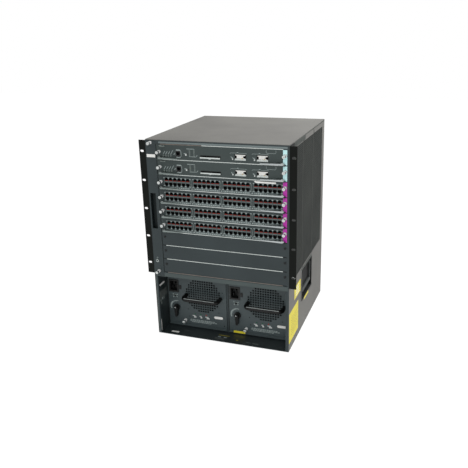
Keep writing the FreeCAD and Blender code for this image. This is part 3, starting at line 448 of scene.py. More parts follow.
# %% Fan tray and power supplies
tray_low, tray_high = span("fan_tray_frame")
tray_screw_x = -202.4
grip_low, grip_high, grip_depth = 360, 478, 17
supplies = {"power_supply_left": -209.4, "power_supply_right": 3.4}
supply_face = front + 62.0
inlet_x, inlet_z, inlet_half_width, inlet_half_height, inlet_depth = 23.5, 146, 17.6, 22.1, 24.1
fan_x, fan_z, duct_depth = 103, 102, 60


def strap_jack(x, y, z, n):
    """What stands proud of the tray's sheet: the jack, once the thumbscrews are left out."""
    return (y < front - hair) & (abs(x - tray_screw_x) < 6.5)


def grip_inside(x, y, z, n):
    """The walls of the finger recess, drawn darker as painted shade."""
    across = (x > tray_low.x + 2.9) & (x < tray_low.x + 21.1)
    return across & (z > grip_low) & (z < grip_high) & (y > front + 0.05) & (y < front + grip_depth)


def supply_rules(x0):
    """Finishes of the inlet, the fan's duct and the case behind the face, from the supply's left side."""
    def inlet(x, y, z, n):
        inside_rim = (abs(x - x0 - inlet_x) < inlet_half_width) & (abs(z - inlet_z) < inlet_half_height)
        proud_or_deep = (y < supply_face - hair) | (y > supply_face + 2 + hair)
        return inside_rim & (y < supply_face + inlet_depth) & proud_or_deep

    def inside(x, y, z, n):
        return y > supply_face + 1.9

    def duct(x, y, z, n):
        near_fan = (abs(x - x0 - fan_x) < 100) & (abs(z - fan_z) < 95)
        return inside(x, y, z, n) & (y < supply_face + duct_depth) & near_fan

    return [(socket_dark, inlet), (socket_dark, duct), (zinc_plate, inside)]


dress("fan_tray_frame", slate_coat, [(nickel, strap_jack), (recess_shade, grip_inside), (zinc_plate, behind)])
for name, x0 in supplies.items():
    dress(name + "_case", supply_coat, supply_rules(x0))
    dress(name + "_handle", black_bail)
    dress(name + "_switch_knob", black_abs)
    dress(name + "_fan_rotor", black_abs)
print("supplies dressed:", len(supplies))

# %% [markdown]
# ## A small builder for plates, prisms and rods
# Labels, bars and printed marks are thin solids on a front plane. A little builder collects them
# in millimetres, each with its material, and makes one object for each body, so that a module's
# marks slide out with the module. A piece has an origin of its own, such as the floor of its slot
# on the front plane, and all its measures start there.

# %% The builder
film = 0.12
smooth_below = math.radians(35)


class Piece:
    """Collects closed solids in millimetres from an origin and turns them into one object."""

    def __init__(self, name, origin=(0, 0, 0)):
        self.name = name
        self.origin = Vector(origin)
        self.points = []
        self.faces = []
        self.marks = []
        self.finishes = []

    def solid(self, points, faces, material):
        start = len(self.points)
        if material not in self.finishes:
            self.finishes.append(material)
        self.points += [(self.origin + Vector(p)) / 1000 for p in points]
        self.faces += [[start + i for i in face] for face in faces]
        self.marks += [self.finishes.index(material)] * len(faces)

    def block(self, across, deep, high, material):
        points = [(x, y, z) for z in high for y in deep for x in across]
        faces = [(0, 1, 5, 4), (1, 3, 7, 5), (3, 2, 6, 7), (2, 0, 4, 6), (4, 5, 7, 6), (0, 2, 3, 1)]
        self.solid(points, faces, material)

    def mark(self, across, high, material, proud=film, at=0.0):
        """A thin rectangle on the front plane, or on a plane before or behind it."""
        self.block(across, (at - proud, at), high, material)

    def bridge(self, near, far, material):
        """A solid between two outlines that have the same number of corners."""
        count = len(near)
        faces = [tuple(range(count)), tuple(range(2 * count - 1, count - 1, -1))]
        faces += [(i, i + count, (i + 1) % count + count, (i + 1) % count) for i in range(count)]
        self.solid(near + far, faces, material)

    def prism(self, corners, material, proud=film, at=0.0):
        """A plate whose outline is given as x and z."""
        self.bridge([(x, at - proud, z) for x, z in corners], [(x, at, z) for x, z in corners], material)

    def side_prism(self, corners, material, layer):
        """The same on a side panel: the outline is given as y and z, the layer as two x values."""
        self.bridge([(layer[0], y, z) for y, z in corners], [(layer[1], y, z) for y, z in corners], material)

    def disc(self, x, z, radius, material, proud=film, at=0.0, sides=12):
        turns = [2 * math.pi * i / sides for i in range(sides)]
        self.prism([(x + radius * math.cos(t), z + radius * math.sin(t)) for t in turns], material, proud, at)

    def ring(self, x, z, outer, inner, material, proud=film, at=0.0, sides=28):
        turns = [2 * math.pi * i / sides for i in range(sides)]
        circle = [(math.cos(t), math.sin(t)) for t in turns]
        points = [(x + radius * c, y, z + radius * s) for y in (at - proud, at) for radius in (outer, inner)
                  for c, s in circle]
        a, b, c, d = (range(first, first + sides) for first in (0, sides, 2 * sides, 3 * sides))
        faces = []
        for i in range(sides):
            j = (i + 1) % sides
            faces += [(a[i], a[j], b[j], b[i]), (c[i], d[i], d[j], c[j]),
                      (a[i], c[i], c[j], a[j]), (b[i], b[j], d[j], d[i])]
        self.solid(points, faces, material)

    def stroke(self, start, end, width, material, proud=film, at=0.0):
        """A printed line between two points, each given as x and z."""
        run = Vector((end[0] - start[0], end[1] - start[1])).normalized() * (width / 2)
        corners = [(start[0] - run.y, start[1] + run.x), (start[0] + run.y, start[1] - run.x),
                   (end[0] + run.y, end[1] - run.x), (end[0] - run.y, end[1] + run.x)]
        self.prism(corners, material, proud, at)

    def path(self, points, width, material, proud=film, at=0.0):
        for start, end in zip(points, points[1:]):
            self.stroke(start, end, width, material, proud, at)

    def made(self, body, slot):
        mesh = bpy.data.meshes.new(self.name)
        mesh.from_pydata(self.points, [], self.faces)
        for material in self.finishes:
            mesh.materials.append(material)
        mesh.polygons.foreach_set("material_index", self.marks)
        shape = bmesh.new()
        shape.from_mesh(mesh)
        bmesh.ops.recalc_face_normals(shape, faces=shape.faces)
        shape.to_mesh(mesh)
        shape.free()
        mesh.shade_smooth()
        mesh.set_sharp_from_angle(angle=smooth_below)
        made = placed(self.name, mesh)
        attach(made, body)
        return made


print("builder ready, film thickness", film, "mm")

# %% [markdown]
# ## Perforated side panels
# Air enters and leaves through three fields of fine square holes in each side. Thousands of equal
# holes are a job for Geometry Nodes: a grid, each face shrunk to a hole, and a thickness. The sheet
# around the fields is cut from plain rectangles.

# %% Helpers for node trees
def new_tree(name, sizes, counts=()):
    """A node group with a geometry input and output, and named number inputs."""
    tree = bpy.data.node_groups.new(name, "GeometryNodeTree")
    tree.interface.new_socket("Geometry", in_out="INPUT", socket_type="NodeSocketGeometry")
    tree.interface.new_socket("Geometry", in_out="OUTPUT", socket_type="NodeSocketGeometry")
    for kind, labels in (("Float", sizes), ("Int", counts), ("Material", ["Material"])):
        for label in labels:
            tree.interface.new_socket(label, in_out="INPUT", socket_type="NodeSocket" + kind)
    return tree, add(tree, "NodeGroupInput").outputs


def set_out(tree, shape, given):
    """Every tree ends with its shape on each point, as real geometry with its material."""
    copies = add(tree, "GeometryNodeInstanceOnPoints", links={"Points": given["Geometry"], "Instance": shape})
    real = add(tree, "GeometryNodeRealizeInstances", links={"Geometry": copies.outputs[0]})
    coat = add(tree, "GeometryNodeSetMaterial", links={
        "Geometry": real.outputs[0], "Material": given["Material"]})
    add(tree, "NodeGroupOutput", links={"Geometry": coat.outputs[0]})
    print("nodes in", tree.name, len(tree.nodes))


def grown(name, points, tree, sizes):
    """Runs a tree on a mesh of points and returns the plain mesh that it makes."""
    seed = bpy.data.meshes.new(name + "_points")
    seed.from_pydata([Vector(p) / 1000 for p in points], [], [])
    holder = placed(name + "_holder", seed)
    modifier = holder.modifiers.new("grow", "NODES")
    modifier.node_group = tree
    for item in tree.interface.items_tree:
        if item.in_out == "INPUT" and item.name in sizes:
            modifier[item.identifier] = sizes[item.name]
    graph = bpy.context.evaluated_depsgraph_get()
    mesh = bpy.data.meshes.new_from_object(holder.evaluated_get(graph), depsgraph=graph)
    bpy.data.objects.remove(holder)
    bpy.data.meshes.remove(seed)
    mesh.name = name
    mesh.materials.clear()
    mesh.materials.append(sizes["Material"])
    return mesh


def add_mesh(piece_object, meshes):
    """Joins more meshes into an object, each keeping its own material."""
    shape = bmesh.new()
    shape.from_mesh(piece_object.data)
    for mesh in meshes:
        slot_number = len(piece_object.data.materials)
        piece_object.data.materials.append(mesh.materials[0])
        before = len(shape.faces)
        shape.from_mesh(mesh)
        shape.faces.ensure_lookup_table()
        for face in shape.faces[before:]:
            face.material_index = slot_number
    shape.to_mesh(piece_object.data)
    shape.free()


print("tree helpers ready")

# %% A node tree for perforated sheet
tree, given = new_tree("perforated_screen", ["Length", "Height", "Open Share", "Thickness"], ["Across", "Up"])
grid = add(tree, "GeometryNodeMeshGrid", links={"Size X": given["Length"], "Size Y": given["Height"],
                                                "Vertices X": given["Across"], "Vertices Y": given["Up"]})
inset = add(tree, "GeometryNodeExtrudeMesh", {"Offset Scale": 0.0, "Individual": True},
            {"Mesh": grid.outputs["Mesh"]}, mode="FACES")
caps = inset.outputs["Top"]
shrunk = add(tree, "GeometryNodeScaleElements", links={
    "Geometry": inset.outputs["Mesh"], "Selection": caps, "Scale": given["Open Share"]}, domain="FACE")
holed = add(tree, "GeometryNodeDeleteGeometry", links={
    "Geometry": shrunk.outputs[0], "Selection": caps}, domain="FACE", mode="ALL")
thick = add(tree, "GeometryNodeExtrudeMesh", {"Individual": False},
            {"Mesh": holed.outputs[0], "Offset Scale": given["Thickness"]}, mode="FACES")
turned_back = add(tree, "GeometryNodeFlipFaces", links={"Mesh": holed.outputs[0]})
whole = add(tree, "GeometryNodeJoinGeometry")
tree.links.new(thick.outputs["Mesh"], whole.inputs[0])
tree.links.new(turned_back.outputs[0], whole.inputs[0])
welded = add(tree, "GeometryNodeMergeByDistance", {"Distance": 0.00001}, {"Geometry": whole.outputs[0]})
set_out(tree, welded.outputs[0], given)
screen_tree = tree

# %% Plain sheet around the fields
field_starts = (36.0, 173.0, 310.0)
field_length = 124.0
field_low, field_high = 218.0, 620.0
cup_along, cup_high = (165.0, 298.0), (102.0, 202.0)
panel_sheet = 1.5


def side_sheet(piece, outer, inner):
    """The plain sheet around the fields and the handle, as one closed shell."""
    low, high = span("side_panel_right")
    field_edges = [front + start + edge for start in field_starts for edge in (0, field_length)]
    cup_near, cup_far = [front + edge for edge in cup_along]
    ys = sorted(set([low.y, high.y, cup_near, cup_far] + field_edges))
    zs = sorted([low.z, *cup_high, field_low, field_high, high.z])
    rows = len(zs)
    layer = len(ys) * rows

    def is_sheet(i, j):
        """Whether a cell between two lines along and two lines up is sheet, not a field, cup or edge."""
        if not (0 <= i < len(ys) - 1 and 0 <= j < rows - 1):
            return False
        y, z = (ys[i] + ys[i + 1]) / 2, (zs[j] + zs[j + 1]) / 2
        in_columns = any(0 < y - front - start < field_length for start in field_starts)
        in_cup = cup_near < y < cup_far and cup_high[0] < z < cup_high[1]
        return not (in_cup or in_columns and field_low < z < field_high)

    faces = []
    for i, j in ((i, j) for i in range(len(ys) - 1) for j in range(rows - 1) if is_sheet(i, j)):
        a, b = i * rows + j, (i + 1) * rows + j
        faces += [(a, b, b + 1, a + 1), (a + layer, a + 1 + layer, b + 1 + layer, b + layer)]
        sides = ((-1, 0, a, a + 1), (1, 0, b, b + 1), (0, -1, a, b), (0, 1, a + 1, b + 1))
        for along, up, first, last in sides:
            if not is_sheet(i + along, j + up):
                faces.append((first, last, last + layer, first + layer))
    piece.solid([(x, y, z) for x in (outer, inner) for y in ys for z in zs], faces, grey_coat)


print("fields:", len(field_starts), "of", field_length, "by", field_high - field_low, "mm")

# %% Screens, and the panels they complete
hole_pitch, open_share = 5.6, 0.7


def screens(side):
    """Three screens for one side, in the panel's plane."""
    high = field_high - field_low
    sizes = {"Length": field_length / 1000, "Height": high / 1000, "Thickness": panel_sheet * 0.6 / 1000,
             "Across": int(field_length / hole_pitch) + 1, "Up": int(high / hole_pitch) + 1,
             "Open Share": open_share, "Material": screen_coat}
    mesh = grown("screen", [(0, 0, 0)], screen_tree, sizes)
    upright = Matrix(((0, 0, 1, 0), (1, 0, 0, 0), (0, 1, 0, 0), (0, 0, 0, 1)))
    depth = half_width - panel_sheet * 0.8 if side > 0 else -half_width + panel_sheet * 0.2
    meshes = []
    for start in field_starts:
        copy = mesh.copy()
        middle = Vector((depth, front + start + field_length / 2, (field_low + field_high) / 2)) / 1000
        copy.transform(Matrix.Translation(middle) @ upright)
        meshes.append(copy)
    return meshes


for side, name in ((-1, "left"), (1, "right")):
    sheet = Piece("side_sheet_" + name)
    side_sheet(sheet, side * half_width, side * (half_width - panel_sheet))
    panel = sheet.made("chassis", "chassis_paint")
    add_mesh(panel, screens(side))
    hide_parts("side_panel_" + name)
    print(panel.name, "faces:", len(panel.data.polygons))

# %% [markdown]
# ## Captive screws
# The captive thumbscrews have a straight knurl, so that fingers can grip them. A cylinder whose
# every second corner line is pulled in gives that knurl, and the tree puts one on each point. The
# ready made screws are heavier than the real ones, and a frame mesh isn't changed. So a copy of
# each front is shown without them, and turned screws with a collar, a dark neck and a slotted face
# stand in the same seats.

# %% A node tree for knurled heads
tree, given = new_tree("knurled_heads", ["Radius", "Length", "Groove"], ["Corners"])
drum = add(tree, "GeometryNodeMeshCylinder", {"Side Segments": 3}, {
    "Vertices": given["Corners"], "Radius": given["Radius"], "Depth": given["Length"]}, fill_type="NGON")
number = add(tree, "GeometryNodeInputIndex")
odd = add(tree, "ShaderNodeMath", {1: 2.0}, {0: number.outputs[0]}, operation="MODULO")
share = add(tree, "ShaderNodeMath", {0: 1.0}, {1: given["Groove"]}, operation="SUBTRACT").outputs[0]
squeeze = add(tree, "ShaderNodeCombineXYZ", {"Z": 1.0}, {"X": share, "Y": share})
where = add(tree, "GeometryNodeInputPosition")
pulled = add(tree, "ShaderNodeVectorMath", links={0: where.outputs[0], 1: squeeze.outputs[0]},
             operation="MULTIPLY")
knurled = add(tree, "GeometryNodeSetPosition", links={
    "Geometry": drum.outputs["Mesh"], "Selection": odd.outputs[0], "Position": pulled.outputs[0]})
lying = add(tree, "GeometryNodeTransform", {"Rotation": (math.pi / 2, 0, 0)},
            {"Geometry": knurled.outputs[0]})
set_out(tree, lying.outputs[0], given)
knurl_tree = tree

# %% Turned screws in place of the ready made ones
knob_tip, knob_length, knob_radius = 19.0, 6.8, 4.7
collar_radius, collar_length = 4.7, 6.0
shank_radius, neck_radius = 2.1, 2.1
heavy_knob_reach, heavy_shank_reach = 6.0, 2.25


def screw_heads(points):
    """Knurled sleeves round the knobs of screws whose seats are given."""
    sizes = {"Radius": knob_radius / 1000, "Length": knob_length / 1000, "Corners": 36, "Groove": 0.07,
             "Material": nickel}
    middles = [(x, y - knob_tip + knob_length / 2, z) for x, y, z in points]
    return grown("screw_heads", middles, knurl_tree, sizes)


def screw_faces(piece, seats):
    """The turned rest of a captive screw: collar, dark neck, raised face with a slot, and the shank."""
    neck = knob_tip - knob_length - collar_length + 0.2
    for x, z in seats:
        piece.disc(x, z, collar_radius, collar_highlight, collar_length, sides=24)
        piece.disc(x, z, neck_radius, socket_dark, neck, at=-collar_length + 0.1, sides=16)
        piece.disc(x, z, knob_radius - 0.8, nickel, 0.6, at=-knob_tip + 0.1, sides=24)
        piece.mark((x - 1.8, x + 1.8), (z - 0.3, z + 0.3), socket_dark, 0.2, at=-knob_tip - 0.4)
        piece.disc(x, z, shank_radius, nickel, 5.1, at=5.0, sides=16)


def without_screws(node, body, points):
    """A copy of a dressed node that leaves out its captive screws."""
    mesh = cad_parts[node].data.copy()
    shape = bmesh.new()
    shape.from_mesh(mesh)
    spare = []
    for face in shape.faces:
        corners = [vert.co * 1000 for vert in face.verts]
        for x, y, z in points:
            reach = max(math.hypot(c.x - x, c.z - z) for c in corners)
            proud = max(c.y for c in corners) < y + hair
            if reach < heavy_shank_reach or (reach < heavy_knob_reach and proud):
                spare.append(face)
                break
    bmesh.ops.delete(shape, geom=spare, context="FACES")
    shape.to_mesh(mesh)
    shape.free()
    copy = stand_in(node, mesh, body)
    print(copy.name, "left out", len(spare), "faces")


def finish_front(piece, node, body, slot, seats, extra=()):
    """Ends the piece on a front: turned screws in its seats, and its node shown without the heavy ones."""
    points = [tuple(piece.origin + Vector((x, 0, z))) for x, z in seats]
    screw_faces(piece, seats)
    without_screws(node, body, points)
    made = piece.made(body, slot)
    add_mesh(made, [*extra, screw_heads(points)])
    print(made.name, "faces:", len(made.data.polygons))


print("knob", 2 * knob_radius, "mm thick and", knob_length, "mm long")

# %% [markdown]
# ## Small blocks set out on points
# The red strips in the sockets and the small indicators are equal blocks that repeat hundreds of
# times. One tree sets a block on every point of a mesh.

# %% A node tree for blocks on points
tree, given = new_tree("blocks_on_points", ["Width", "Depth", "Height"])
block_size = add(tree, "ShaderNodeCombineXYZ", links={
    "X": given["Width"], "Y": given["Depth"], "Z": given["Height"]})
unit_block = add(tree, "GeometryNodeMeshCube", links={"Size": block_size.outputs[0]})
set_out(tree, unit_block.outputs["Mesh"], given)
block_tree = tree


def blocks_at(name, points, size, material):
    """Equal blocks of a size in millimetres, centred on the points."""
    sizes = {label: value / 1000 for label, value in zip(("Width", "Depth", "Height"), size)}
    return grown(name, points, block_tree, {**sizes, "Material": material})


# %% [markdown]
# ## Port cards
# Forty-eight sockets fill a card. A red strip lies at the foot of each upper socket, the pale trim
# between the latches makes a row of teeth, and a strip of small indicators runs under each block.
# A coloured film at the right end names the kind of module. Here it carries no print.

# %% Places on a port card
port_pitch, port_count, port_height = 13.8, 6, 10.0
lower_rise, upper_rise = 11.7, 26.7
block_proud = 0.6
film_edges = (201.0, 213.0)
film_low, film_high, film_cut = 2.4, 44.8, 5.1
module_seats = [(left_screw_x, left_screw_rise), (right_screw_x, right_screw_rise)]


def ported_columns():
    """The start of each block with the middles of its sockets."""
    for start in block_starts:
        middle = start + block_width / 2
        yield start, [middle + (column - (port_count - 1) / 2) * port_pitch for column in range(port_count)]


def tooth(piece, x, base, tip, width):
    """Pale trim between two latches: wide at the block's edge and narrow between the sockets."""
    corners = [(x - width / 2, base), (x + width / 2, base), (x + 0.5, tip), (x - 0.5, tip)]
    if tip < base:
        corners.reverse()
    piece.prism(corners, pale_ink, at=-block_proud)


def colour_strip(piece, material):
    """The film at the right end, cut round the thumbscrew: one half on each side of the cut."""
    for sign, edge in zip((-1, 1), film_edges):
        arc = [(right_screw_x + sign * film_cut * math.sin(t), right_screw_rise - film_cut * math.cos(t))
               for t in np.linspace(0, math.pi, 9)]
        piece.prism([(edge, film_low), (right_screw_x, film_low), *arc, (right_screw_x, film_high),
                     (edge, film_high)], material)


print("sockets on a card:", 2 * port_count * len(block_starts))

# %% Trim round the sockets
def port_trim(piece):
    """Teeth, outline and thin webs of each block, on the face of the block."""
    top, bottom = upper_rise + port_height, lower_rise
    for start, columns in ported_columns():
        end = start + block_width
        for x in [columns[0] - port_pitch] + columns:
            gap = x + port_pitch / 2
            tooth(piece, gap, top + 0.6, top - 3.4, 6.4)
            tooth(piece, gap, bottom - 0.8, bottom + 3.8, 7.2)
        outline = [(start + 0.6, bottom + 1), (start + 0.6, top - 3.5), (start + 4.2, top + 1.6),
                   (end - 4.2, top + 1.6), (end - 0.6, top - 3.5), (end - 0.6, bottom + 1)]
        piece.path(outline, 0.7, web_plastic, at=-block_proud)
        piece.stroke((start + 2, 24.4), (end - 2, 24.4), 1.2, web_plastic, at=-block_proud)
        for x in columns[1:]:
            web, web_top = x - port_pitch / 2, bottom + port_height + 1
            piece.stroke((web, bottom + 4), (web, web_top), 0.6, web_plastic, at=-block_proud)


def block_marks(piece):
    """The indicator strip under each block, with a printed line that leads on to the next block."""
    for start in block_starts:
        side = start + block_width
        piece.mark((start + 1, side - 1), (4.4, 8.6), pale_ink, proud=0.25)
        if start < block_starts[-1]:
            lead = [(side + 1.0, 36), (side + 3.4, 31), (side + 3.4, 16), (side + 6.5, 8)]
            piece.path(lead, 1.1, web_plastic)
            piece.mark((side + 2.5, side + 7.5), (5.0, 8.0), pale_ink)


print("teeth round a block:", 2 * (port_count + 1))

# %% Dress the port cards
label_span, label_end = (121, 181), (118, 123)
for name in cards:
    floor = floor_of[name]
    piece = Piece(name + "_trim", (0, front, floor))
    port_trim(piece)
    colour_strip(piece, magenta_film)
    block_marks(piece)
    if name == cards[0]:
        piece.mark(label_span, (38.2, 43.0), white_film, proud=0.2, at=-block_proud)
        piece.mark(label_end, (40.2, 44.0), white_film, proud=0.6, at=-block_proud)
    columns = [x for start, middles in ported_columns() for x in middles]
    feet = [(x, front - block_proud + 0.7, floor + upper_rise + 0.95) for x in columns]
    lamps = [(x + shift, front - 0.3, floor + 6.5) for x in columns for shift in (-3.4, 3.4)]
    finish_front(piece, name + "_face", name, "faceplate_paint", module_seats,
                 [blocks_at("red_strips", feet, (10.6, 1.4, 1.5), red_strip),
                  blocks_at("indicators", lamps, (2.6, 0.4, 1.7), smoke_lens)])

# %% [markdown]
# ## Controllers
# A controller's faceplate is mostly bare. It has slanted printed strokes over status lamps, a
# ringed service socket, a load meter, a card slot and two bays for pluggable transceivers with
# bright sprung flaps.

# %% Status lamps and service socket
first_stroke_x, stroke_step, stroke_count = -163.0, 8.0, 4
lamp_rise, stroke_foot = 12.4, 16.5
console_x, console_rise = -115.0, 20.1
octagon = [(-7.2, 6.5), (-5.0, 11.8), (6.5, 11.8), (9.8, 6.5), (9.8, -6.5), (6.5, -11.6), (-5.0, -11.6),
           (-7.2, -6.5)]


def status_lamps(piece):
    """Lamps in rings, each with a slanted stroke over it, of which the last is the longest."""
    for number in range(stroke_count):
        x = first_stroke_x + number * stroke_step
        reach = 5.2 if number < stroke_count - 1 else 7.0
        piece.stroke((x, stroke_foot), (x + reach * 1.15, stroke_foot + reach * 1.8), 1.6, pale_ink)
        piece.ring(x + 0.6, lamp_rise, 2.4, 1.5, web_plastic, sides=14)
        piece.disc(x + 0.6, lamp_rise, 1.2, web_plastic, 0.5)
    piece.stroke((-128.5, stroke_foot), (-125.5, stroke_foot + 5), 2.0, pale_ink)


def service_socket(piece):
    """An eight-sided ring round the socket, thicker above and below it, and the marks beside it."""
    around = [(console_x + across, console_rise + up) for across, up in octagon + octagon[:1]]
    piece.path(around, 1.5, pale_ink, proud=0.5)
    for up in (-10.6, 10.4):
        piece.mark((console_x - 5.4, console_x + 7.0), (console_rise + up - 1.8, console_rise + up + 1.8),
                   pale_ink, proud=0.6)
    piece.mark((-96.5, -89.5), (20.2, 22.6), pale_ink)
    piece.mark((-92.5, -88.0), (15.4, 21.4), white_ink)
    piece.disc(-84.0, 20.5, 1.7, socket_dark, 0.4)


print("octagon corners:", len(octagon))

# %% Load meter and card slot
meter_left, meter_right = -83.5, -60.0
meter_low, meter_high = 13.0, 35.5
slot_low, slot_middle, slot_half = 9.6, -14.0, 31.0


def load_meter(piece):
    """Two lines across and two double lines up, with a short tick at the right."""
    piece.path([(meter_left - 4, meter_high), (meter_right - 3, meter_high)], 1.8, pale_ink)
    piece.path([(meter_left + 3, meter_low), (meter_right + 2, meter_low)], 1.4, pale_ink)
    for x in (meter_left + 4.5, meter_right - 5):
        piece.path([(x, meter_low), (x, meter_high)], 1.5, web_plastic)
        piece.path([(x + 2.6, meter_low), (x + 2.6, meter_high)], 0.7, web_plastic)
    piece.stroke((meter_right + 3, meter_low + 1), (meter_right + 5.4, meter_low + 5), 1.8, pale_ink)


def card_slot(piece):
    """The bright lip under the card slot and the small tab at its middle."""
    piece.mark((slot_middle - slot_half, slot_middle + slot_half), (slot_low + 0.6, slot_low + 4.6),
               gasket_steel, proud=0.6, at=-3.1)
    piece.mark((slot_middle - 4, slot_middle + 3), (slot_low - 0.6, slot_low + 1.6), gasket_steel,
               proud=0.5, at=-3.7)


print("meter", meter_right - meter_left, "mm wide, slot", 2 * slot_half, "mm wide")

# %% Transceiver bays
cage_middles, cage_half = (77.2, 142.2), 17.0
cage_low, cage_high = 9.6, 26.6
waist = [(-12.5, 4.6), (14.5, 4.6), (7.5, 7.6), (7.0, 10.8), (14.5, 14.0), (-13.5, 14.0), (-11.5, 10.8),
         (-11.5, 7.6)]
lip = ((-1.8, 0.4), (0.6, 0.2), (3.4, 4.8), (1.0, 5.0))


def transceiver_flap(piece, x):
    """A sprung flap in the mouth: a wide lip at its foot, a narrow waist and a thin edge at the top."""
    low, at = cage_low, -block_proud
    piece.prism([(x + across, low + up) for across, up in waist], tinned_cage, proud=0.6, at=at + 3.6)
    piece.mark((x - 14.5, x + 15.5), (low + 14.2, low + 16.4), tinned_cage, proud=4.0, at=at + 3.4)
    points = [(x + across, at + deep, low + up) for across in (-16.4, 16.4) for deep, up in lip]
    piece.solid(points, [(0, 1, 2, 3), (7, 6, 5, 4), (0, 4, 5, 1), (1, 5, 6, 2), (2, 6, 7, 3), (3, 7, 4, 0)],
                gasket_steel)
    piece.mark((x + 4.0, x + 6.2), (low + 5.2, low + 6.8), amber_lens, proud=1.0, at=at + 0.6)


def bay_print(piece, x):
    """Printed lines over a bay, and a hook and a block to the left of it."""
    left, right, high = x - cage_half, x + cage_half, cage_high
    bracket = [(left - 14, high + 1.0), (left - 12, high + 3.6), (right, high + 3.6),
               (right + 1.5, high + 1.4)]
    hook = [(left - 11.5, high - 7.0), (left - 8.0, high - 11.0), (left - 5.5, high - 9.0)]
    piece.path(bracket, 0.9, pale_ink)
    piece.mark((x - 11, x - 6), (high + 3.2, high + 6.2), pale_ink)
    piece.path(hook, 2.0, pale_ink)
    piece.mark((left - 8.2, left - 4.8), (high - 16.0, high - 12.0), white_ink)


print("bays on a controller:", len(cage_middles))

# %% Dress the controllers
corner_bracket = [(153, 42), (153, 35.5), (155.5, 33.5), (178.5, 33.5), (181, 35.5), (181, 42)]
lever_tab = [(-176, 42.6), (-172, 39.6), (-157, 39.6), (-157, 42.6)]
for name in controllers:
    piece = Piece(name + "_marks", (0, front, floor_of[name]))
    colour_strip(piece, cyan_film)
    status_lamps(piece)
    service_socket(piece)
    load_meter(piece)
    card_slot(piece)
    for x in cage_middles:
        transceiver_flap(piece, x)
        bay_print(piece, x)
    piece.path(corner_bracket, 0.9, pale_ink)
    piece.prism(lever_tab, web_plastic, proud=2.4)
    piece.disc(-163.5, 42.4, 1.4, socket_dark, 0.2, at=-2.4)
    finish_front(piece, name + "_face", name, "faceplate_paint", module_seats)

# %% [markdown]
# ## Header and fan tray
# Above the first module a contact strip closes the slot, drawn darker over its left part, and a raised
# bar stiffens the header, drawn lighter as a painted highlight. The tray at the left edge carries a
# bare label, a small printed triangle and a ring round its jack.

# %% Dress the header and the fan tray
contact_rise, contact_break = (0.3, 2.3), -40.0
piece = Piece("header_trim", (0, front, floor_of[controllers[0]] + 45.2))
piece.mark((-171.0, contact_break), contact_rise, gasket_darker, proud=0.8)
piece.mark((contact_break, 202.0), contact_rise, gasket_steel, proud=0.8)
# The raised bar is drawn lighter than the faceplate: a painted highlight on its lit face.
piece.mark((-176.0, 214.0), (3.4, 8.6), bright_edge, proud=1.0)
piece.made("chassis", "faceplate_paint")

piece = Piece("fan_tray_marks", (0, front, 0))
piece.mark((-217.4, -189.5), (586.3, 595.3), white_film)
piece.path([(-208.5, 264.5), (-206, 268.5), (-203.5, 264.5), (-208.5, 264.5)], 0.8, pale_ink)
piece.ring(-205.9, tray_low.z + 50.5, 4.6, 3.0, pale_ink, proud=0.2, at=-2.0)
finish_front(piece, "fan_tray_frame", "fan_tray", "tray_paint",
             [(tray_screw_x, tray_high.z - 6.5), (tray_screw_x, tray_low.z + 16.5)])

# %% [markdown]
# ## Power supplies
# Each supply shows its inlet, a fan grille behind a black bail, a large turning switch with a
# printed arc, three indicators and a thumbscrew. All is measured from the supply's left side.

# %% Print and lamps of a supply
knob_x, knob_z, arc_radius = 31.4, 70.0, 22.0
line_top, line_step, word_gap = 32.1, 3.9, 1.6
rivets = ((71.5, 67), (193.4, 140), (179.5, 67), (75, 41), (197, 22), (12, 186))


def supply_lamps(piece):
    """Three indicators, each with two printed blocks under it."""
    for across, lens in ((95.4, green_lens), (115.2, green_lens), (134.4, red_lens)):
        piece.disc(across, 52.5, 2.0, lens, 1.0, sides=14)
    for across, wide in ((85.5, 13.0), (110.5, 9.0), (130.5, 15.0)):
        piece.mark((across, across + wide * 0.75), (44.4, 47.2), white_ink)
        piece.mark((across + wide * 0.35, across + wide), (38.8, 43.6), white_ink)


def rounded_label(piece, x, z, half_length, round_across, round_up):
    """A bare label with round ends."""
    turns = [2 * math.pi * turn / 16 for turn in range(16)]
    piece.prism([(x + math.copysign(half_length, math.cos(t)) + round_across * math.cos(t),
                  z + round_up * math.sin(t)) for t in turns], white_film)


def print_lines(piece):
    """Three lines of print, as plain blocks of four lengths in turn."""
    for row, (x, end) in enumerate(((78, 160), (76, 166), (82, 150))):
        top, step = line_top - row * line_step, row
        while x < end:
            wide = (5.0, 8.0, 3.4, 6.2)[step % 4]
            piece.mark((x, x + wide), (top - 2.7, top), pale_ink)
            x += wide + word_gap
            step += 1


def switch_arc(piece):
    """The arc over the switch, in short pieces that swell and thin again."""
    for turn in range(10):
        first, last = (math.radians(200 - 12.5 * (turn + share)) for share in (0, 0.92))
        wide = 1.4 + 4.6 * (1 - abs(turn - 3) / 7)
        inner, outer = arc_radius - wide / 2, arc_radius + wide / 2
        piece.prism([(knob_x + r * math.cos(t), knob_z + r * math.sin(t)) for r, t in
                     ((inner, first), (inner, last), (outer, last), (outer, first))], pale_ink)


print("rivets:", len(rivets))

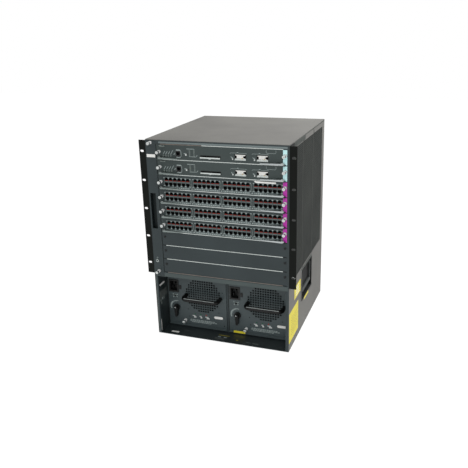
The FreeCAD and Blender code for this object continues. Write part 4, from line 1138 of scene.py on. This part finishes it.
# %% Dress the supplies
for name, x0 in supplies.items():
    piece = Piece(name + "_marks", (x0, supply_face, 0))
    supply_lamps(piece)
    rounded_label(piece, 177.5, 49.0, 10.5, 4.5, 4.6)
    print_lines(piece)
    piece.stroke((18, 116), (34, 106), 3.4, pale_ink)
    piece.stroke((19, 105), (35, 116), 3.4, pale_ink)
    piece.mark((21, 31), (107.0, 115.0), pale_ink)
    switch_arc(piece)
    for across, z in rivets:
        piece.disc(across, z, 1.7, black_abs, 0.3)
    piece.mark((4, 202), (5.2, 14.0), supply_coat, proud=1.6)
    # Painted shade down the left edge, beside the bay wall, and in the shadow under the sill.
    piece.mark((0.6, 2.8), (8, 194), fold_dark, proud=0.3)
    piece.mark((2, 204), (194, 199.6), fold_dark, proud=0.3)
    piece.mark((43, 50), (136, 150), socket_dark, proud=2.0)
    # A pale strip along the top of the bail: a painted highlight.
    piece.mark((75, 179), (123.1, 124.3), bail_glint, proud=1.2, at=-40.6)
    finish_front(piece, name + "_case", name, "supply_paint", [(60.4, 26.0)])
    knob = Piece(name + "_switch_dot", (x0, supply_face, 0))
    knob.disc(29.4, 72.4, 1.9, white_ink, 0.5, at=-13.2, sides=14)
    knob.made(name + "_switch_knob", "black_plastic")

# %% [markdown]
# ## Labels, pocket rims and seams
# Bare labels stick to the side and in the supply bay. The side also has painted shade along its long
# top seam, over its top band and in small creases there, shaded posts between its screens, and over
# each handle pocket a pale line of painted highlight on the lip with painted shade above it.

# %% Dress the side
labels = Piece("side_labels", (0, front, 0))
lower_layer = (half_width, half_width + film)
upper_layer = (half_width + film, half_width + 0.2)
# Each field: from and to along the side, from and to upwards, and its finish
side_fields = ((67, 148, 145, 185, yellow_film), (198, 260, 87, 97, yellow_film),
               (4, 117, 25, 125, yellow_film),
               # Then a dark line, a pale painted highlight along the pocket's lip, and painted shade along
               # the top fold, over the top band, at a seam in it and above the lip.
               (146, 148.5, 104, 213, socket_dark), (150, 305, 203.5, 206.5, web_plastic),
               (2, 465, 634.5, 637.5, seam_shade), (24, 190, 622, 634.2, seam_shade),
               (300, 302, 621, 634, seam_shade), (150, 300, 207.5, 214.5, seam_shade))


def side_field(y0, y1, z0, z1, finish, layer=lower_layer):
    labels.side_prism([(y0, z0), (y1, z0), (y1, z1), (y0, z1)], finish, layer)


for field in side_fields:
    side_field(*field)
for row in range(8):
    for column in range(7):
        y, z = 26 + column * 11.5 + (row * 5) % 9, 46 + row * 7.6
        side_field(y, y + 6, z, z + 2.2, ochre_ink, upper_layer)
for row in range(4):
    side_field(84, 128, 151 + row * 8, 154 + row * 8, white_film, upper_layer)
for start in field_starts[1:]:
    side_field(start - 12.5, start - 0.5, 216, 622, post_shade)
    side_field(start - 7.5, start - 4, 216, 632, fold_dark, upper_layer)
# Two crosses of painted shade stand for creases in the top band.
for start, end in ((52, 84), (112, 150)):
    for first, last in ((start, end), (end, start)):
        crease = [(first, 622.5), (first + 3, 622.5), (last + 3, 634), (last, 634)]
        labels.side_prism(crease, post_shade, upper_layer)
print("side fields:", len(side_fields))

# %% Dress the bay
wall, base_top = -209.4, 2.0
# Each patch: from and to inwards, from and to upwards, how far it stops short of the wall, and its finish
wall_patches = ((2, 5, 8, 48, 0.02, white_film), (8, 42, 163, 169, 0.04, white_film),
                (4, 54, 118, 144, 0.04, bay_grey), (6, 13, 108, 116, 0.02, web_plastic),
                (17, 24, 112, 120, 0.02, pale_ink), (28, 35, 110, 118, 0.02, web_plastic),
                (10, 17, 98, 106, 0.02, web_plastic))
# Each mark: from and to across, from and to inwards, and its finish
floor_marks = ((-181, -155, 13, 21, white_film), (-145, -119, 33, 34.5, bay_grey),
               (78, 92, 15, 17, web_plastic), (98, 118, 14, 16, web_plastic), (-22, 14, 36, 39, ochre_ink),
               (-22, -12, 24, 29, pale_ink), (-2, 8, 24, 29, pale_ink), (-28, 4, 12, 19, bay_grey),
               (42, 49, 18, 23, ochre_ink))
# Each rim: from and to across, from and to upwards, and its finish
# The band on the sill and a line at the bay's left end are drawn lighter: painted highlights. The dark line
# by the bay's left wall is painted shade.
bay_rims = ((-185, 216.5, 204, 217, lip_edge), (-216, -185, 203.4, 205.2, lip_edge),
            (-219.6, -216.6, 5, 203, fold_dark), (-216.4, -215, 5, 203, web_plastic))
for y0, y1, z0, z1, short, finish in wall_patches:
    labels.block((wall - 0.2, wall - short), (y0, y1), (z0, z1), finish)
for x0, x1, y0, y1, finish in floor_marks:
    labels.block((x0, x1), (y0, y1), (base_top, base_top + film), finish)
for x0, x1, z0, z1, finish in bay_rims:
    labels.mark((x0, x1), (z0, z1), finish, proud=0.3)
labels.made("chassis", "chassis_paint")
bay_label = Piece("supply_foot_label", (0, supply_face, 0))
bay_label.mark((20, 60), (6.0, 13.6), yellow_film, proud=0.2, at=-1.6)
bay_label.made("power_supply_right", "supply_paint")
print("marks in the bay:", len(wall_patches) + len(floor_marks) + len(bay_rims))

# %% [markdown]
# ## Light, floor and what the camera sees
# A product picture of this kind has a white ground and soft light from above and the front. The
# floor and the world show white to the camera and in reflections, but light the object only as
# much as a pale room would.

# %% Floor and world
white_light, paper_share, paper_glow, room_strength = (1, 1, 1, 1), 0.92, 1.08, 0.52
floor_half, floor_drop = 6.0, -0.0005
floor_mesh = bpy.data.meshes.new("studio_floor")
floor_corners = [(-floor_half, -floor_half), (floor_half, -floor_half), (floor_half, floor_half),
                 (-floor_half, floor_half)]
floor_mesh.from_pydata([(x, y, floor_drop) for x, y in floor_corners], [], [(0, 1, 2, 3)])
studio_floor = placed("studio_floor", floor_mesh)


def either(tree, first, second):
    """The larger of two shares."""
    return add(tree, "ShaderNodeMath", links={0: first, 1: second}, operation="MAXIMUM").outputs[0]


# Studio paper: matt, and plain white to the camera and in reflections
paper, tree, paper_shader = new_material("white_studio_paper")
paper_shader.inputs["Base Color"].default_value = linear("#e6e6e6")
paper_shader.inputs["Roughness"].default_value = 0.9
seen = add(tree, "ShaderNodeLightPath").outputs
direct = either(tree, seen["Is Camera Ray"], seen["Is Glossy Ray"])
any_view = either(tree, direct, seen["Is Transmission Ray"])
share = add(tree, "ShaderNodeMath", {1: paper_share}, {0: any_view}, operation="MULTIPLY").outputs[0]
glow = add(tree, "ShaderNodeEmission", {"Color": white_light, "Strength": paper_glow})
mix = add(tree, "ShaderNodeMixShader", links={0: share, 1: paper_shader.outputs[0], 2: glow.outputs[0]})
tree.links.new(mix.outputs[0], tree.nodes["Material Output"].inputs["Surface"])
floor_mesh.materials.append(paper)

world = bpy.data.worlds.new("studio")
bpy.context.scene.world = world
world.use_nodes = True
tree = world.node_tree
tree.nodes.clear()
seen = add(tree, "ShaderNodeLightPath").outputs
direct = either(tree, seen["Is Camera Ray"], seen["Is Transmission Ray"])
room, white = (add(tree, "ShaderNodeBackground", {"Color": white_light, "Strength": strength})
               for strength in (room_strength, 1.0))
mix = add(tree, "ShaderNodeMixShader", links={0: direct, 1: room.outputs[0], 2: white.outputs[0]})
add(tree, "ShaderNodeOutputWorld", links={"Surface": mix.outputs[0]})
print("world:", world.name, "floor:", studio_floor.name)

# %% Lamps
def softbox(name, place, aim, size, energy):
    """A square lamp that points at a place on the object."""
    lamp = bpy.data.lights.new(name, "AREA")
    lamp.size = size
    lamp.energy = energy
    made = placed(name, lamp)
    made.location = place
    made.rotation_euler = (Vector(aim) - Vector(place)).to_track_quat("-Z", "Y").to_euler()


softbox("front_softbox", (0.4, -2.6, 1.6), (0, 0, 0.3), 1.8, 24)
softbox("top_softbox", (0.8, 0.8, 1.8), (0.1, 0.1, 0.6), 1.0, 32)
bpy.context.scene.view_settings.view_transform = "Standard"
print("lamps:", len(bpy.data.lights))
